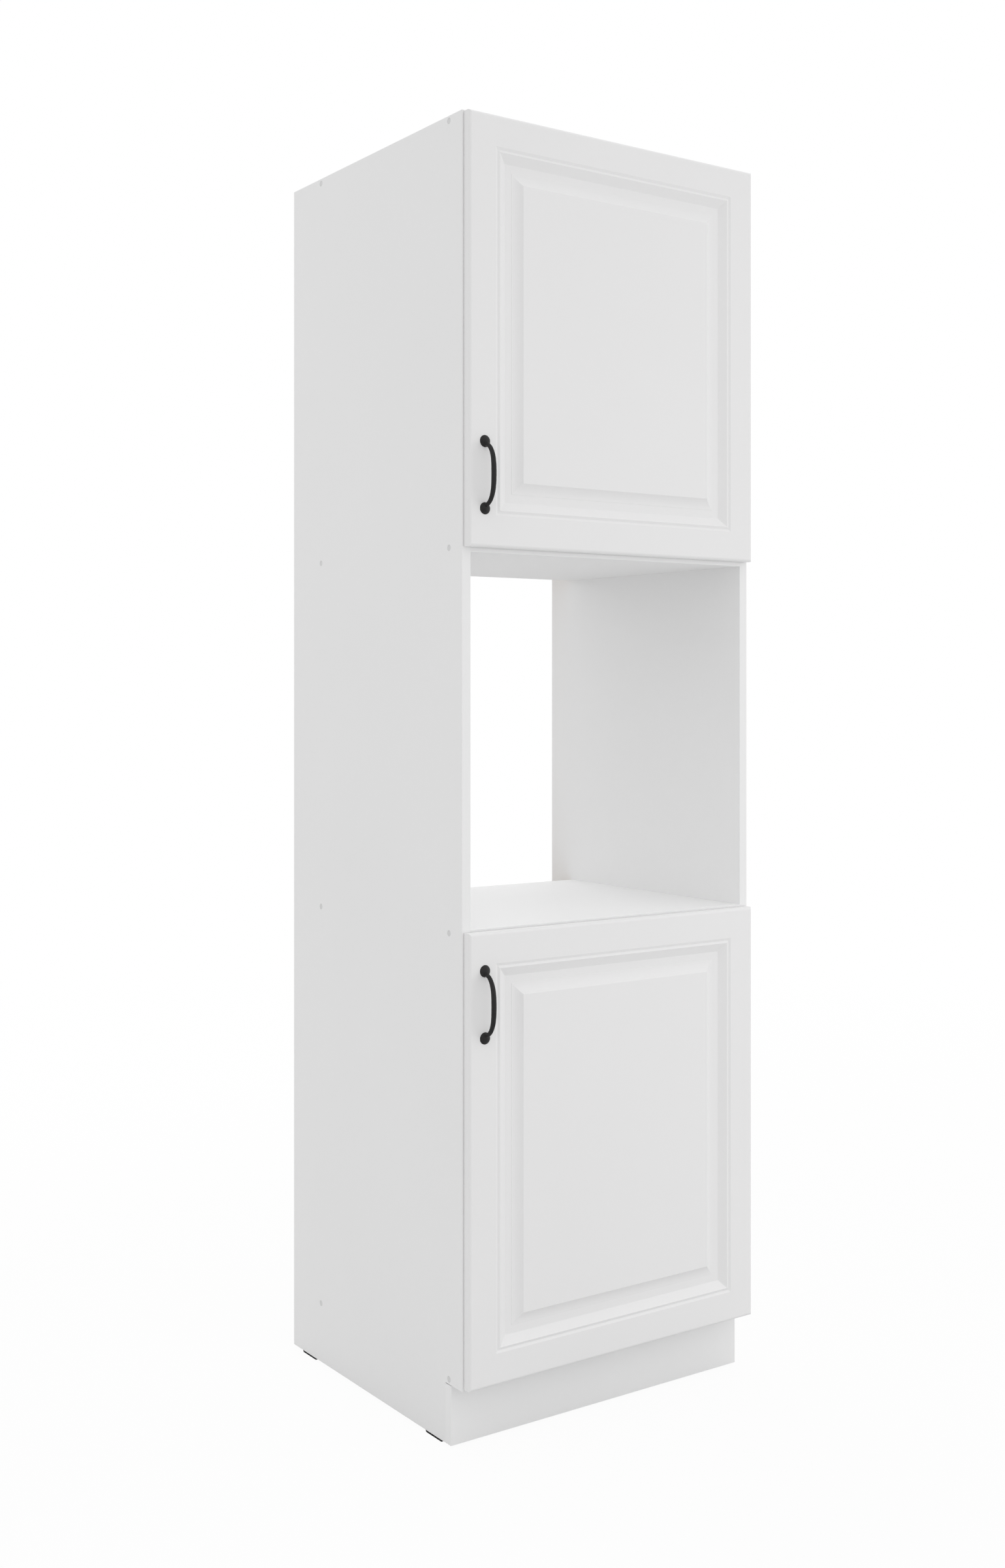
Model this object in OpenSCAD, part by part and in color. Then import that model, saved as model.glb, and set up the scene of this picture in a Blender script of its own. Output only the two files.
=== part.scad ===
// Tall housing unit for a built-in oven: a white board carcass with an open
// oven niche between two framed doors on concealed cup hinges.
// X runs to the right, Y to the back, Z up. The origin is on the floor, under
// the middle of everything, handles included. All sizes are millimetres.

/* [Carcass] */
// Outside width over both side panels
unit_w = 600; // [450:10:800]
// Height from the floor to the top of the side panels
unit_h = 2100; // [2000:10:2300]
// Depth of the side panels
carcass_d = 552; // [500:1:620]
// Thickness of every carcass board
board_t = 16; // [15:0.5:19]
// Free space between the back boards and the wall
service_void = 62; // [30:1:90]
// Thickness of the back boards
back_t = 3; // [2.5:0.5:5]
// How far the back boards reach into the side panels
groove_deep = 7; // [4:0.5:9]
// Play of a back board in its groove
groove_play = 0.15; // [0.05:0.05:0.5]

/* [Niche and shelves] */
// Height of the niche floor that carries the oven
niche_floor_z = 819; // [750:1:900]
// Clear height of the niche
niche_h = 592; // [560:1:600]
// How far a loose shelf stays behind the carcass front
shelf_setback = 20; // [5:1:60]
// Side play of a loose shelf
shelf_play = 0.5; // [0.2:0.1:2]
// Radius of a shelf pin
pin_r = 2.5; // [1.5:0.25:3]
// Length of a shelf pin on each side of the panel face
pin_len = 8; // [6:0.5:10]
// Distance between the rows of shelf holes
hole_pitch = 32; // [25:1:40]
// Rows of shelf holes in each compartment
hole_rows = 3; // [1:2:7]

/* [Plinth and glides] */
// Height of the carcass underside
plinth_h = 100; // [80:1:150]
// How far the plinth stands behind the carcass front
plinth_setback = 30; // [20:1:60]
// Gap between the plinth and the carcass underside
plinth_gap = 1.5; // [0.5:0.5:4]
// Side of the square timber cleats behind the plinth
cleat_side = 28; // [20:1:40]
// Height of the cleats
cleat_h = 60; // [40:1:75]
// Height of the black glides
glide_h = 4.5; // [3:0.5:8]
// Length of a glide
glide_len = 51; // [40:1:70]
// Width of a glide
glide_w = 14; // [10:1:15]
// Distance from a glide to the end of the panel edge it sits on
glide_inset = 11; // [5:1:30]

/* [Carcass screws] */
// Distance of the carcass screws from the ends of each board
screw_inset = 36; // [25:1:60]
// Length of a carcass screw
screw_len = 48; // [40:1:60]
// Radius of a carcass screw's thread
screw_r = 2.5; // [2:0.25:3.5]
// Radius of a screw head
head_r = 4.8; // [4:0.1:6]
// Thickness of a cap over a screw head
cap_t = 1; // [0.6:0.1:2]

/* [Doors] */
// Thickness of a door
door_t = 16; // [15:0.5:22]
// Gap between a door and the carcass
door_gap = 2; // [1.5:0.5:4]
// Distance of a door's sides from the outside of the unit
door_side = 3; // [1.5:0.5:5]
// Distance of the upper door from the top of the unit
door_top = 2; // [1:0.5:5]
// Distance of the lower door from the carcass underside
door_foot = 3; // [1:0.5:8]
// How much of the niche ceiling's edge the upper door covers
ceiling_lap = 8.5; // [4:0.5:12]
// How much of the niche floor's edge the lower door covers
floor_lap = 12.5; // [4:0.5:14]
// Radius of the doors' front edges
door_edge_r = 5; // [2:0.5:7]

/* [Door moulding] */
// Flat border between the door's edge and the moulding
border_w = 50; // [42:1:80]
// Width of the fine groove that starts the moulding
vee_w = 8; // [4:0.5:12]
// Depth of the fine groove
vee_deep = 2; // [1:0.25:3]
// Width of the outer slope
slope_w = 14.3; // [8:0.1:20]
// Width of the flat channel
channel_w = 13.4; // [6:0.2:24]
// Depth of the flat channel
channel_deep = 8.5; // [5:0.5:10]
// Height of the small lip between the channel and the raised panel's cove
panel_lip_h = 0.4; // [0.2:0.1:1]
// Width of the cove around the raised panel
rise_w = 18; // [12:0.5:30]
// How far the raised panel's face lies below the border
panel_drop = 0.7; // [0.3:0.1:2]

/* [Handles] */
// Distance between the two feet of a handle
handle_pitch = 105; // [80:1:160]
// How far a handle stands out from the door
handle_reach = 29; // [24:1:45]
// Radius of the bow in the middle
bow_mid_r = 4.2; // [3:0.1:6]
// Radius of the bow where it meets its feet
bow_end_r = 3.3; // [2:0.1:3.5]
// How far inward of the feet's middles the bow starts
bow_end_in = 5; // [0:0.5:6]
// Radius of the round feet
foot_r = 9.8; // [7:0.1:14]
// Height of the round feet
foot_h = 5.5; // [3:0.5:8]
// Distance of a handle from the door's free edge
handle_side = 29; // [20:1:36]
// Distance of the nearest foot from the door's end
handle_end = 60; // [40:1:120]
// Radius of the handle screws
bolt_r = 2; // [1.5:0.25:2.5]

/* [Hinges] */
// Distance of the hinges from the ends of a door
hinge_end = 100; // [80:1:160]
// Radius of the cup bore in the door
cup_bore_r = 17.5; // [15:0.5:17.5]
// Depth of the cup bore
cup_bore_deep = 11.5; // [10.5:0.5:12.5]
// Board left between the cup bore and the door's edge
cup_edge = 5; // [4:0.5:7]
// Sheet thickness of the cup
cup_wall = 0.9; // [0.6:0.1:1.2]
// Distance of the hinge plate's screws from the carcass front
plate_back = 37; // [30:1:45]
// Distance between the hinge plate's screws
plate_pitch = 32; // [28:1:40]
// Radius of the hinge pins
hinge_pin_r = 1.25; // [1:0.05:1.4]
// Running play around the hinge pins
pin_play = 0.05; // [0.02:0.01:0.08]
// Distance of the arm's pin from the side panel
arm_pin_in = 11; // [10:0.5:13]
// Distance of the arm's pin behind the carcass front
arm_pin_back = 5; // [4.5:0.25:7]
// Thickness of the curved link
link_t = 2.4; // [1.6:0.1:2.6]
// Width of the curved link
link_w = 9; // [6:0.5:9.5]

/* [Hidden] */
$fn = 48;

white_board = [0.87, 0.87, 0.87];
white_paint = [0.90, 0.90, 0.90];
black_iron = [0.14, 0.13, 0.13];
nickel = [0.75, 0.75, 0.74];
cut = 1;                 // how far a cutting solid runs past a face
fit = 0.05;              // radial play of a screw or a peg in its hole
small_head_h = 2;        // height of the small screws' heads

// Carcass details
screw_head_h = 3;
screw_neck_r = 1.38 * screw_r;
back_inset = 1;          // the back boards end this far inside the outermost boards
shelf_back_gap = 5;      // space between a loose shelf and the back board
pin_inset = 30;          // distance of the shelf pins from the shelf's edges
pin_collar_t = 1.5;
plinth_screw_r = 1.8;
plinth_screw_bite = 10;  // how far these screws reach into the plinth
glide_peg_r = 2.5;
glide_peg_h = 12;
glide_slant = 3;

// Door details
slope_rim_deep = 0.2;    // the outer slope starts this far below the border
bumper_r = 4;
bumper_end = 20;         // distance of the pads from the door's ends
bumper_play = 0.3;       // space between a pad and the carcass

// Handle details
bow_rings = 36;
bow_sides = 16;
bow_up_power = 0.72;     // below 1 the bow's shoulders are fuller than an ellipse
bow_seat = 1.5;          // the bow starts this far above the feet's flat side
foot_wall = 1;           // metal left over the end of a foot's screw hole
bolt_head_h = 2.2;

// Hinge details
cup_play = 0.1;          // radial play of a cup in its bore
cup_pin_in = 4.5;        // distance of the cup's pin from the bore's edge
cup_pin_deep = 2;        // depth of the cup's pin below the door's back
link_low_in = 3.5;       // the link's two bends, from the cup's pin inwards
link_low_deep = 2.8;
link_high_in = 9;
link_high_up = 1;
link_eye_wall = 1.1;
link_play = 0.6;         // space between the link and the arm's cheeks
arm_sheet = 1.5;
arm_tip_r = 3;
arm_tail = 26;           // how far the arm runs behind the plate's screws
arm_neck = 12;           // the deep part of the cheeks starts this far before them
arm_brow = 11;           // and the slim part ends this far behind the carcass front
cheek_play = 1;          // space between the cheeks and the plate's wings
wing_t = 2;
wing_w = 17;
wing_over = 9;           // wing left beyond each of its screws
block_ahead = 17;        // the plate's block starts this far before its screws
block_len = 40;
block_play = 0.1;        // space between the block and each cheek
flange_t = 1;
flange_w = 16;
flange_in = 4;           // the flange's middle lies this far inside the cup's
flange_over = 4.5;       // flange left beyond each of its screws
cup_screw_out = 5;       // distance of the flange's screws from the bore
cup_screw_r = 1.6;
cup_screw_len = 12;
cup_head_h = 0.6;
plate_screw_r = 2.5;
plate_screw_len = 11;
plate_tip_gap = 1;       // space left beyond the tip of a plate screw
clamp_r = 2;
clamp_len = 7;
clamp_head_h = 1.6;
clamp_ahead = 5;         // the arm's clamp screw sits this far before the plate's

// Heights
ceiling_z = niche_floor_z + niche_h;
top_z = unit_h - board_t;
board_levels = [plinth_h, niche_floor_z - board_t, ceiling_z, top_z];

// Plan
half_w = unit_w / 2;
inner_half = half_w - board_t;
board_d = carcass_d - service_void - back_t;
front_reach = door_gap + door_t + handle_reach;
front_y = -(carcass_d - front_reach) / 2;
plinth_back = plinth_setback + board_t;

// Doors
door_w = unit_w - 2 * door_side;
lower_door_z = plinth_h + door_foot;
lower_door_h = niche_floor_z - board_t + floor_lap - lower_door_z;
upper_door_z = ceiling_z + board_t - ceiling_lap;
upper_door_h = unit_h - door_top - upper_door_z;
door_front = -door_gap - door_t;
handle_x = -half_w + door_side + handle_side;

// Hinges, numbered from the floor up
hinge_z = [
    lower_door_z + hinge_end, lower_door_z + lower_door_h - hinge_end,
    upper_door_z + hinge_end, upper_door_z + upper_door_h - hinge_end,
];
door_edge_x = half_w - door_side;
cup_x = door_edge_x - cup_edge - cup_bore_r;
cup_r = cup_bore_r - cup_play;
cup_deep = cup_bore_deep - 2 * cup_play;
cup_in_r = cup_r - cup_wall;
cup_pin = [door_edge_x - cup_edge - cup_pin_in, -door_gap - cup_pin_deep];
arm_pin = [inner_half - arm_pin_in, arm_pin_back];
link_line = [
    cup_pin, cup_pin + [-link_low_in, -link_low_deep],
    cup_pin + [-link_high_in, link_high_up], arm_pin,
];
link_eye_r = hinge_pin_r + link_eye_wall;
arm_half = link_w / 2 + link_play;
arm_web_x = arm_pin[0] - arm_tip_r;
arm_end = plate_back + arm_tail;
arm_front = 2.6 * arm_tip_r;
block_x = arm_web_x + arm_sheet + 2 * block_play;
clamp_y = plate_back - clamp_ahead;
flange_x = cup_x - flange_in;
cup_screw_z = cup_bore_r + cup_screw_out;

// Shelves
pin_rows = [(plinth_h + board_t + board_levels[1]) / 2, (ceiling_z + board_t + top_z) / 2];
pin_front = shelf_setback + pin_inset;
pin_rear = board_d - shelf_back_gap - pin_inset;

// Glides, along the panel's lower edge
glide_spots = [plinth_back + glide_inset, carcass_d - service_void / 2 - glide_len];

// Handles
lower_feet = [lower_door_z + lower_door_h - handle_end - handle_pitch,
              lower_door_z + lower_door_h - handle_end];
upper_feet = [upper_door_z + handle_end, upper_door_z + handle_end + handle_pitch];
bow_y = handle_reach - bow_mid_r - bow_seat;
bow_span = handle_pitch - 2 * bow_end_in;

// Everything is drawn from the carcass front and moved to the origin here
module place() translate([0, front_y, 0]) children();

// A rod along +X, used for screws and holes in the side panels
module rod_x(r, len) rotate([0, 90, 0]) cylinder(r = r, h = len);

// A rod along +Y
module rod_y(r, len) rotate([-90, 0, 0]) cylinder(r = r, h = len);

// ---- carcass -------------------------------------------------------------

// Places of the carcass screws: every board, front and rear
module at_carcass_screws() {
    for (z = board_levels, y = [screw_inset, board_d - screw_inset])
        translate([half_w, y, z + board_t / 2]) children();
}

// Places of the shelf holes on the right side panel's inner face
module at_shelf_holes() {
    for (row = pin_rows, i = [0 : hole_rows - 1], y = [pin_front, pin_rear])
        translate([inner_half, y, row + (i - (hole_rows - 1) / 2) * hole_pitch]) children();
}

// The right side panel, without the hinge holes
module side_panel() {
    difference() {
        translate([inner_half, 0, glide_h]) cube([board_t, carcass_d, unit_h - glide_h]);
        // toe recess, in which the plinth covers the edge
        translate([inner_half - cut, -cut, glide_h - cut])
            cube([board_t + 2 * cut, plinth_back + cut, plinth_h - glide_h + cut]);
        // grooves of the two back boards
        back_grooves();
        at_carcass_screws() {
            translate([-board_t - cut, 0, 0]) rod_x(screw_neck_r + fit, board_t + 2 * cut);
            translate([-cap_t - screw_head_h, 0, 0]) rod_x(head_r + fit, board_t);
        }
        at_shelf_holes() translate([-cut, 0, 0]) rod_x(pin_r + fit, pin_len + cut + fit);
        for (y = glide_spots)
            translate([half_w - board_t / 2, y + glide_len / 2, glide_h - cut])
                cylinder(r = glide_peg_r + fit, h = glide_peg_h + cut + fit);
    }
}

module back_grooves() {
    for (span = [[ceiling_z, unit_h + cut], [plinth_h, niche_floor_z]])
        translate([inner_half - cut, board_d - groove_play, span[0]])
            cube([groove_deep + cut, back_t + 2 * groove_play, span[1] - span[0]]);
}

module side_panel_right() {
    color(white_board) place() difference() {
        side_panel();
        for (z = hinge_z, side = [-1, 1])
            translate([inner_half - cut, plate_back, z + side * plate_pitch / 2])
                rod_x(plate_screw_r + fit, plate_screw_len + cut);
    }
}

module side_panel_left() {
    color(white_board) place() mirror([1, 0, 0]) side_panel();
}

// A board between the side panels, with the pilot holes in its ends
module fixed_board(z) {
    place() difference() {
        translate([-inner_half, 0, z]) cube([2 * inner_half, board_d, board_t]);
        for (m = [0, 1]) mirror([m, 0, 0])
            for (y = [screw_inset, board_d - screw_inset])
                translate([inner_half - screw_len, y, z + board_t / 2])
                    rod_x(screw_r + fit, screw_len + cut);
    }
}

module top_panel() color(white_board) fixed_board(top_z);
module niche_ceiling() color(white_board) fixed_board(ceiling_z);
module niche_floor() color(white_board) fixed_board(niche_floor_z - board_t);
module bottom_panel() color(white_board) fixed_board(plinth_h);

// A thin back board, let into both side panels
module back_board(z0, z1) {
    half = inner_half + groove_deep - groove_play;
    place() translate([-half, board_d, z0]) cube([2 * half, back_t, z1 - z0]);
}

module back_board_upper() {
    color(white_board) back_board(ceiling_z + back_inset, unit_h - back_inset);
}
module back_board_lower() {
    color(white_board) back_board(plinth_h + back_inset, niche_floor_z - back_inset);
}

// Carcass screws: head, shank in the panel and thread in the board's end
module carcass_screw() {
    translate([-cap_t, 0, 0]) rotate([0, -90, 0]) rotate_extrude() polygon([
        [0, 0], [head_r, 0], [head_r, screw_head_h], [screw_neck_r, screw_head_h],
        [screw_neck_r, board_t - cap_t], [screw_r, board_t - cap_t],
        [screw_r, screw_len - screw_r], [0, screw_len]
    ]);
}

module board_screws_right() color(nickel) place() at_carcass_screws() carcass_screw();
module board_screws_left() {
    color(nickel) place() mirror([1, 0, 0]) at_carcass_screws() carcass_screw();
}

module screw_cap() translate([-cap_t, 0, 0]) rod_x(head_r, cap_t);
module screw_caps_right() color("lightgray") place() at_carcass_screws() screw_cap();
module screw_caps_left() {
    color("lightgray") place() mirror([1, 0, 0]) at_carcass_screws() screw_cap();
}

// ---- plinth and glides ---------------------------------------------------

cleat_z = plinth_h - cleat_h;
plinth_screw_len = cleat_side + plinth_screw_bite;

module at_plinth_screws() {
    for (m = [0, 1], f = [0.25, 0.75]) mirror([m, 0, 0])
        translate([inner_half - cleat_side / 2, plinth_back + cleat_side, cleat_z + f * cleat_h])
            rotate([0, 0, 180]) children();
}

module plinth_board() {
    color(white_paint) place() difference() {
        translate([-half_w, plinth_setback, glide_h])
            cube([unit_w, board_t, plinth_h - plinth_gap - glide_h]);
        at_plinth_screws() rod_y(plinth_screw_r + fit, plinth_screw_len + fit);
    }
}

module plinth_cleat() {
    difference() {
        translate([inner_half - cleat_side, plinth_back, cleat_z])
            cube([cleat_side, cleat_side, cleat_h]);
        at_plinth_screws() translate([0, -cut, 0])
            rod_y(plinth_screw_r + fit, cleat_side + 2 * cut);
    }
}

module plinth_cleat_right() color("burlywood") place() plinth_cleat();
module plinth_cleat_left() color("burlywood") place() mirror([1, 0, 0]) plinth_cleat();

module plinth_screws() {
    color(nickel) place() at_plinth_screws() {
        rod_y(plinth_screw_r, plinth_screw_len);
        translate([0, -small_head_h, 0]) rod_y(2 * plinth_screw_r, small_head_h);
    }
}

// A black pad with slanted ends and a peg, under the right side panel
module glide(y) {
    place() translate([half_w - board_t / 2, y, 0]) {
        rotate([90, 0, 90]) translate([0, 0, -glide_w / 2]) linear_extrude(glide_w) polygon([
            [glide_slant, 0], [glide_len - glide_slant, 0], [glide_len, glide_h], [0, glide_h]
        ]);
        translate([0, glide_len / 2, glide_h / 2])
            cylinder(r = glide_peg_r, h = glide_h / 2 + glide_peg_h);
    }
}

module glide_front_right() color(black_iron) glide(glide_spots[0]);
module glide_rear_right() color(black_iron) glide(glide_spots[1]);
module glide_front_left() color(black_iron) mirror([1, 0, 0]) glide(glide_spots[0]);
module glide_rear_left() color(black_iron) mirror([1, 0, 0]) glide(glide_spots[1]);

// ---- loose shelves -------------------------------------------------------

module shelf(row) {
    half = inner_half - shelf_play;
    place() translate([-half, shelf_setback, row + pin_r])
        cube([2 * half, board_d - shelf_setback - shelf_back_gap, board_t]);
}

// A pin with a collar, half in the panel and half under the shelf
module shelf_pins(row) {
    place() for (m = [0, 1], y = [pin_front, pin_rear]) mirror([m, 0, 0])
        translate([inner_half - pin_len, y, row]) {
            rod_x(pin_r, 2 * pin_len);
            translate([pin_len - pin_collar_t, 0, 0]) difference() {
                rod_x(1.5 * pin_r, pin_collar_t);
                translate([-cut, -2 * pin_r, pin_r])
                    cube([pin_collar_t + 2 * cut, 4 * pin_r, 2 * pin_r]);
            }
        }
}

module shelf_upper() color(white_board) shelf(pin_rows[1]);
module shelf_lower() color(white_board) shelf(pin_rows[0]);
module shelf_pins_upper() color(nickel) shelf_pins(pin_rows[1]);
module shelf_pins_lower() color(nickel) shelf_pins(pin_rows[0]);

// ---- doors ---------------------------------------------------------------

// The moulding is drawn as sections across a width of w: x from the left edge,
// y into the door. Each is carried through the door's height and its width, and
// only what both have in common counts, so that every corner is mitred.

// The slab, its two front corners rounded
module slab_section(w) {
    r = door_edge_r;
    translate([r, 0]) square([w - 2 * r, door_t]);
    translate([0, r]) square([w, door_t - r]);
    for (x = [r, w - r]) translate([x, r]) circle(r);
}

// Air down to the outer slope of the fine groove, carried on below its bottom
module groove_section(w) {
    x = border_w;
    polygon([
        [x, -cut], [x, 0], [x + 0.75 * vee_w, 1.5 * vee_deep],
        [w - x - 0.75 * vee_w, 1.5 * vee_deep], [w - x, 0], [w - x, -cut]
    ]);
}

// Everything that stays inside the fine groove
module ridge_section(w) {
    x = border_w;
    polygon([
        [x, 2 * vee_deep], [x + vee_w, 0], [w - x - vee_w, 0], [w - x, 2 * vee_deep]
    ]);
}

// Air above a cove that starts at x = 0 and climbs to rim_deep at x = run
module cove_air(run, deep, rim_deep) {
    rise = deep - rim_deep;
    r = (run * run + rise * rise) / (2 * rise);
    intersection() {
        translate([0, deep - r]) circle(r, $fn = 96);
        translate([0, -cut]) square([run, deep + cut]);
    }
}

// Air of the outer slope and of the channel, as if there were no raised panel
module hollow_section(w) {
    x = border_w + vee_w;
    foot = x + slope_w;
    polygon([
        [x, -cut], [x, slope_rim_deep], [foot, channel_deep],
        [w - foot, channel_deep], [w - x, slope_rim_deep], [w - x, -cut]
    ]);
}

// The raised panel with the coves along its edges
module panel_section(w) {
    x = border_w + vee_w + slope_w + channel_w;
    deep = channel_deep - panel_lip_h;
    difference() {
        translate([x, panel_drop]) square([w - 2 * x, door_t - panel_drop]);
        translate([x, 0]) cove_air(rise_w, deep, panel_drop);
        translate([w - x, 0]) mirror([1, 0]) cove_air(rise_w, deep, panel_drop);
    }
}

// What the two extrusions of a section have in common. The first child is the
// section over the door's width, the second the same one over its height.
module crossed(h) {
    intersection() {
        linear_extrude(h) children(0);
        translate([0, 0, h]) rotate([0, 90, 0]) linear_extrude(door_w) children(1);
    }
}

// A door without its bores, face at y = 0
module door_blank(h) {
    w = door_w;
    difference() {
        crossed(h) { slab_section(w); slab_section(h); }
        difference() {
            crossed(h) { groove_section(w); groove_section(h); }
            crossed(h) { ridge_section(w); ridge_section(h); }
        }
        difference() {
            crossed(h) { hollow_section(w); hollow_section(h); }
            crossed(h) { panel_section(w); panel_section(h); }
        }
    }
}

// A door with its hinge and handle bores
module door(z, h, hinges, feet) {
    place() difference() {
        translate([-half_w + door_side, door_front, z]) door_blank(h);
        for (hz = hinges) translate([0, -door_gap, hz]) {
            translate([cup_x, cut, 0]) mirror([0, 1, 0]) rod_y(cup_bore_r, cup_bore_deep + cut);
            for (side = [-1, 1]) translate([flange_x, cut, side * cup_screw_z])
                mirror([0, 1, 0]) rod_y(cup_screw_r + fit, cup_screw_len + cut);
        }
        for (fz = feet) translate([handle_x, door_front - cut, fz])
            rod_y(bolt_r + fit, door_t + 2 * cut);
    }
}

module door_lower() {
    color(white_paint) door(lower_door_z, lower_door_h, [hinge_z[0], hinge_z[1]], lower_feet);
}
module door_upper() {
    color(white_paint) door(upper_door_z, upper_door_h, [hinge_z[2], hinge_z[3]], upper_feet);
}

// Soft pads that meet the left side panel's edge
module bumpers(z, h) {
    place() for (bz = [z + bumper_end, z + h - bumper_end])
        translate([-half_w + (board_t + door_side) / 2, -door_gap, bz])
            rod_y(bumper_r, door_gap - bumper_play);
}
module door_bumpers_upper() color("whitesmoke") bumpers(upper_door_z, upper_door_h);
module door_bumpers_lower() color("whitesmoke") bumpers(lower_door_z, lower_door_h);

// ---- handles -------------------------------------------------------------

// A point on the bow's centre line, from the lower foot (0) to the upper (180)
function bow_point(a) = [
    -bow_y * sin(a),
    -bow_span / 2 * sign(cos(a)) * pow(abs(cos(a)), bow_up_power)
];
function bow_angle(i) = let (u = i / bow_rings) 180 * (0.5 - 0.5 * cos(180 * u));
function bow_radius(z) = let (u = min(1, abs(2 * z / bow_span)))
    bow_end_r + (bow_mid_r - bow_end_r) * cos(90 * u);
bow_line = [for (i = [0 : bow_rings]) bow_point(bow_angle(i))];
function bow_dir(i) = i == 0 ? [-1, 0] : i == bow_rings ? [1, 0] :
    let (d = bow_line[i + 1] - bow_line[i - 1]) d / norm(d);

// The tapering tube along the bow's centre line, as triangles
module bow() {
    points = [for (i = [0 : bow_rings], k = [0 : bow_sides - 1])
        let (p = bow_line[i], d = bow_dir(i), r = bow_radius(p[1]), a = 360 * k / bow_sides)
        [r * cos(a), p[0] - d[1] * r * sin(a), p[1] + d[0] * r * sin(a)]];
    ends = [
        [for (k = [bow_sides - 1 : -1 : 0]) k],
        [for (k = [0 : bow_sides - 1]) bow_rings * bow_sides + k],
    ];
    skin = [for (i = [0 : bow_rings - 1], k = [0 : bow_sides - 1], half = [0, 1])
        let (n = (k + 1) % bow_sides, low = i * bow_sides, high = low + bow_sides)
        half == 0 ? [low + k, low + n, high + n] : [low + k, high + n, high + k]];
    polyhedron(points, concat(ends, skin));
}

// A round foot, domed on its outside
module handle_foot() {
    r = (foot_r * foot_r + foot_h * foot_h) / (2 * foot_h);
    rotate([90, 0, 0]) intersection() {
        translate([0, 0, foot_h - r]) sphere(r, $fn = 64);
        cylinder(r = foot_r + cut, h = foot_h + cut);
    }
}

// Two feet, the bow that springs from inside them, and the holes for its screws
module handle(feet) {
    place() translate([handle_x, door_front, (feet[0] + feet[1]) / 2]) difference() {
        union() {
            for (side = [-1, 1]) translate([0, 0, side * handle_pitch / 2]) handle_foot();
            translate([0, -bow_seat, 0]) bow();
        }
        for (side = [-1, 1]) translate([0, -foot_h + foot_wall, side * handle_pitch / 2])
            rod_y(bolt_r + fit, foot_h);
    }
}
module handle_upper() color(black_iron) handle(upper_feet);
module handle_lower() color(black_iron) handle(lower_feet);

// Screws that hold a handle from behind the door
module handle_screws(feet) {
    len = door_t + foot_h - 2 * foot_wall;
    place() for (z = feet) translate([handle_x, -door_gap, z]) {
        translate([0, -len, 0]) rod_y(bolt_r, len);
        rod_y(2 * bolt_r, bolt_head_h);
    }
}
module handle_screws_upper() color(nickel) handle_screws(upper_feet);
module handle_screws_lower() color(nickel) handle_screws(lower_feet);

// ---- hinges --------------------------------------------------------------

// A solid drawn in plan and standing from -half to +half around height z
module plan_solid(z, half) translate([0, 0, z - half]) linear_extrude(2 * half) children();

// Screwed to the side panel: two wings and the block that carries the arm
module hinge_plate(n) {
    z = hinge_z[n];
    wing_half = plate_pitch / 2 + wing_over;
    block_half = arm_half - block_play;
    color(nickel) place() difference() {
        union() {
            translate([inner_half - wing_t, plate_back - wing_w / 2, z - wing_half])
                cube([wing_t, wing_w, 2 * wing_half]);
            translate([block_x, plate_back - block_ahead, z - block_half])
                cube([inner_half - block_x, block_len, 2 * block_half]);
        }
        for (side = [-1, 1])
            translate([inner_half - wing_t - cut, plate_back, z + side * plate_pitch / 2])
                rod_x(plate_screw_r + fit, wing_t + 2 * cut);
        translate([block_x - cut, clamp_y, z]) rod_x(clamp_r + fit, clamp_len + cut);
    }
}

// Folded sheet arm over the block, with the fixed pin at its front
module hinge_arm(n) {
    z = hinge_z[n];
    cheek_x = inner_half - wing_t - cheek_play;
    color(nickel) place() {
        difference() {
            plan_solid(z, arm_half + arm_sheet)
                translate([arm_web_x, arm_front]) square([arm_sheet, arm_end - arm_front]);
            translate([arm_web_x - cut, clamp_y, z]) rod_x(clamp_r + fit, arm_sheet + 2 * cut);
        }
        for (side = [-1, 1])
            plan_solid(z + side * (arm_half + arm_sheet / 2), arm_sheet / 2) {
                translate(arm_pin) circle(arm_tip_r);
                polygon([
                    [arm_web_x, arm_pin[1]], [arm_web_x, arm_end], [cheek_x, arm_end],
                    [cheek_x, plate_back - arm_neck], [arm_pin[0] + arm_tip_r, arm_brow],
                    [arm_pin[0] + arm_tip_r, arm_pin[1]],
                ]);
            }
        plan_solid(z, arm_half + arm_sheet) translate(arm_pin) circle(hinge_pin_r);
    }
}

// Straight stretch of the link between two points, with round ends
module link_stretch(a, b) {
    d = b - a;
    translate(a) circle(link_t / 2);
    translate(b) circle(link_t / 2);
    translate(a) rotate(atan2(d[1], d[0])) translate([0, -link_t / 2]) square([norm(d), link_t]);
}

// Curved link from the arm's pin, over the cup's rim, to the cup's pin
module hinge_link(n) {
    color(nickel) place() plan_solid(hinge_z[n], link_w / 2) difference() {
        union() {
            for (i = [0 : 2]) link_stretch(link_line[i], link_line[i + 1]);
            for (pin = [cup_pin, arm_pin]) translate(pin) circle(link_eye_r);
        }
        for (pin = [cup_pin, arm_pin]) translate(pin) circle(hinge_pin_r + pin_play);
    }
}

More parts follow.
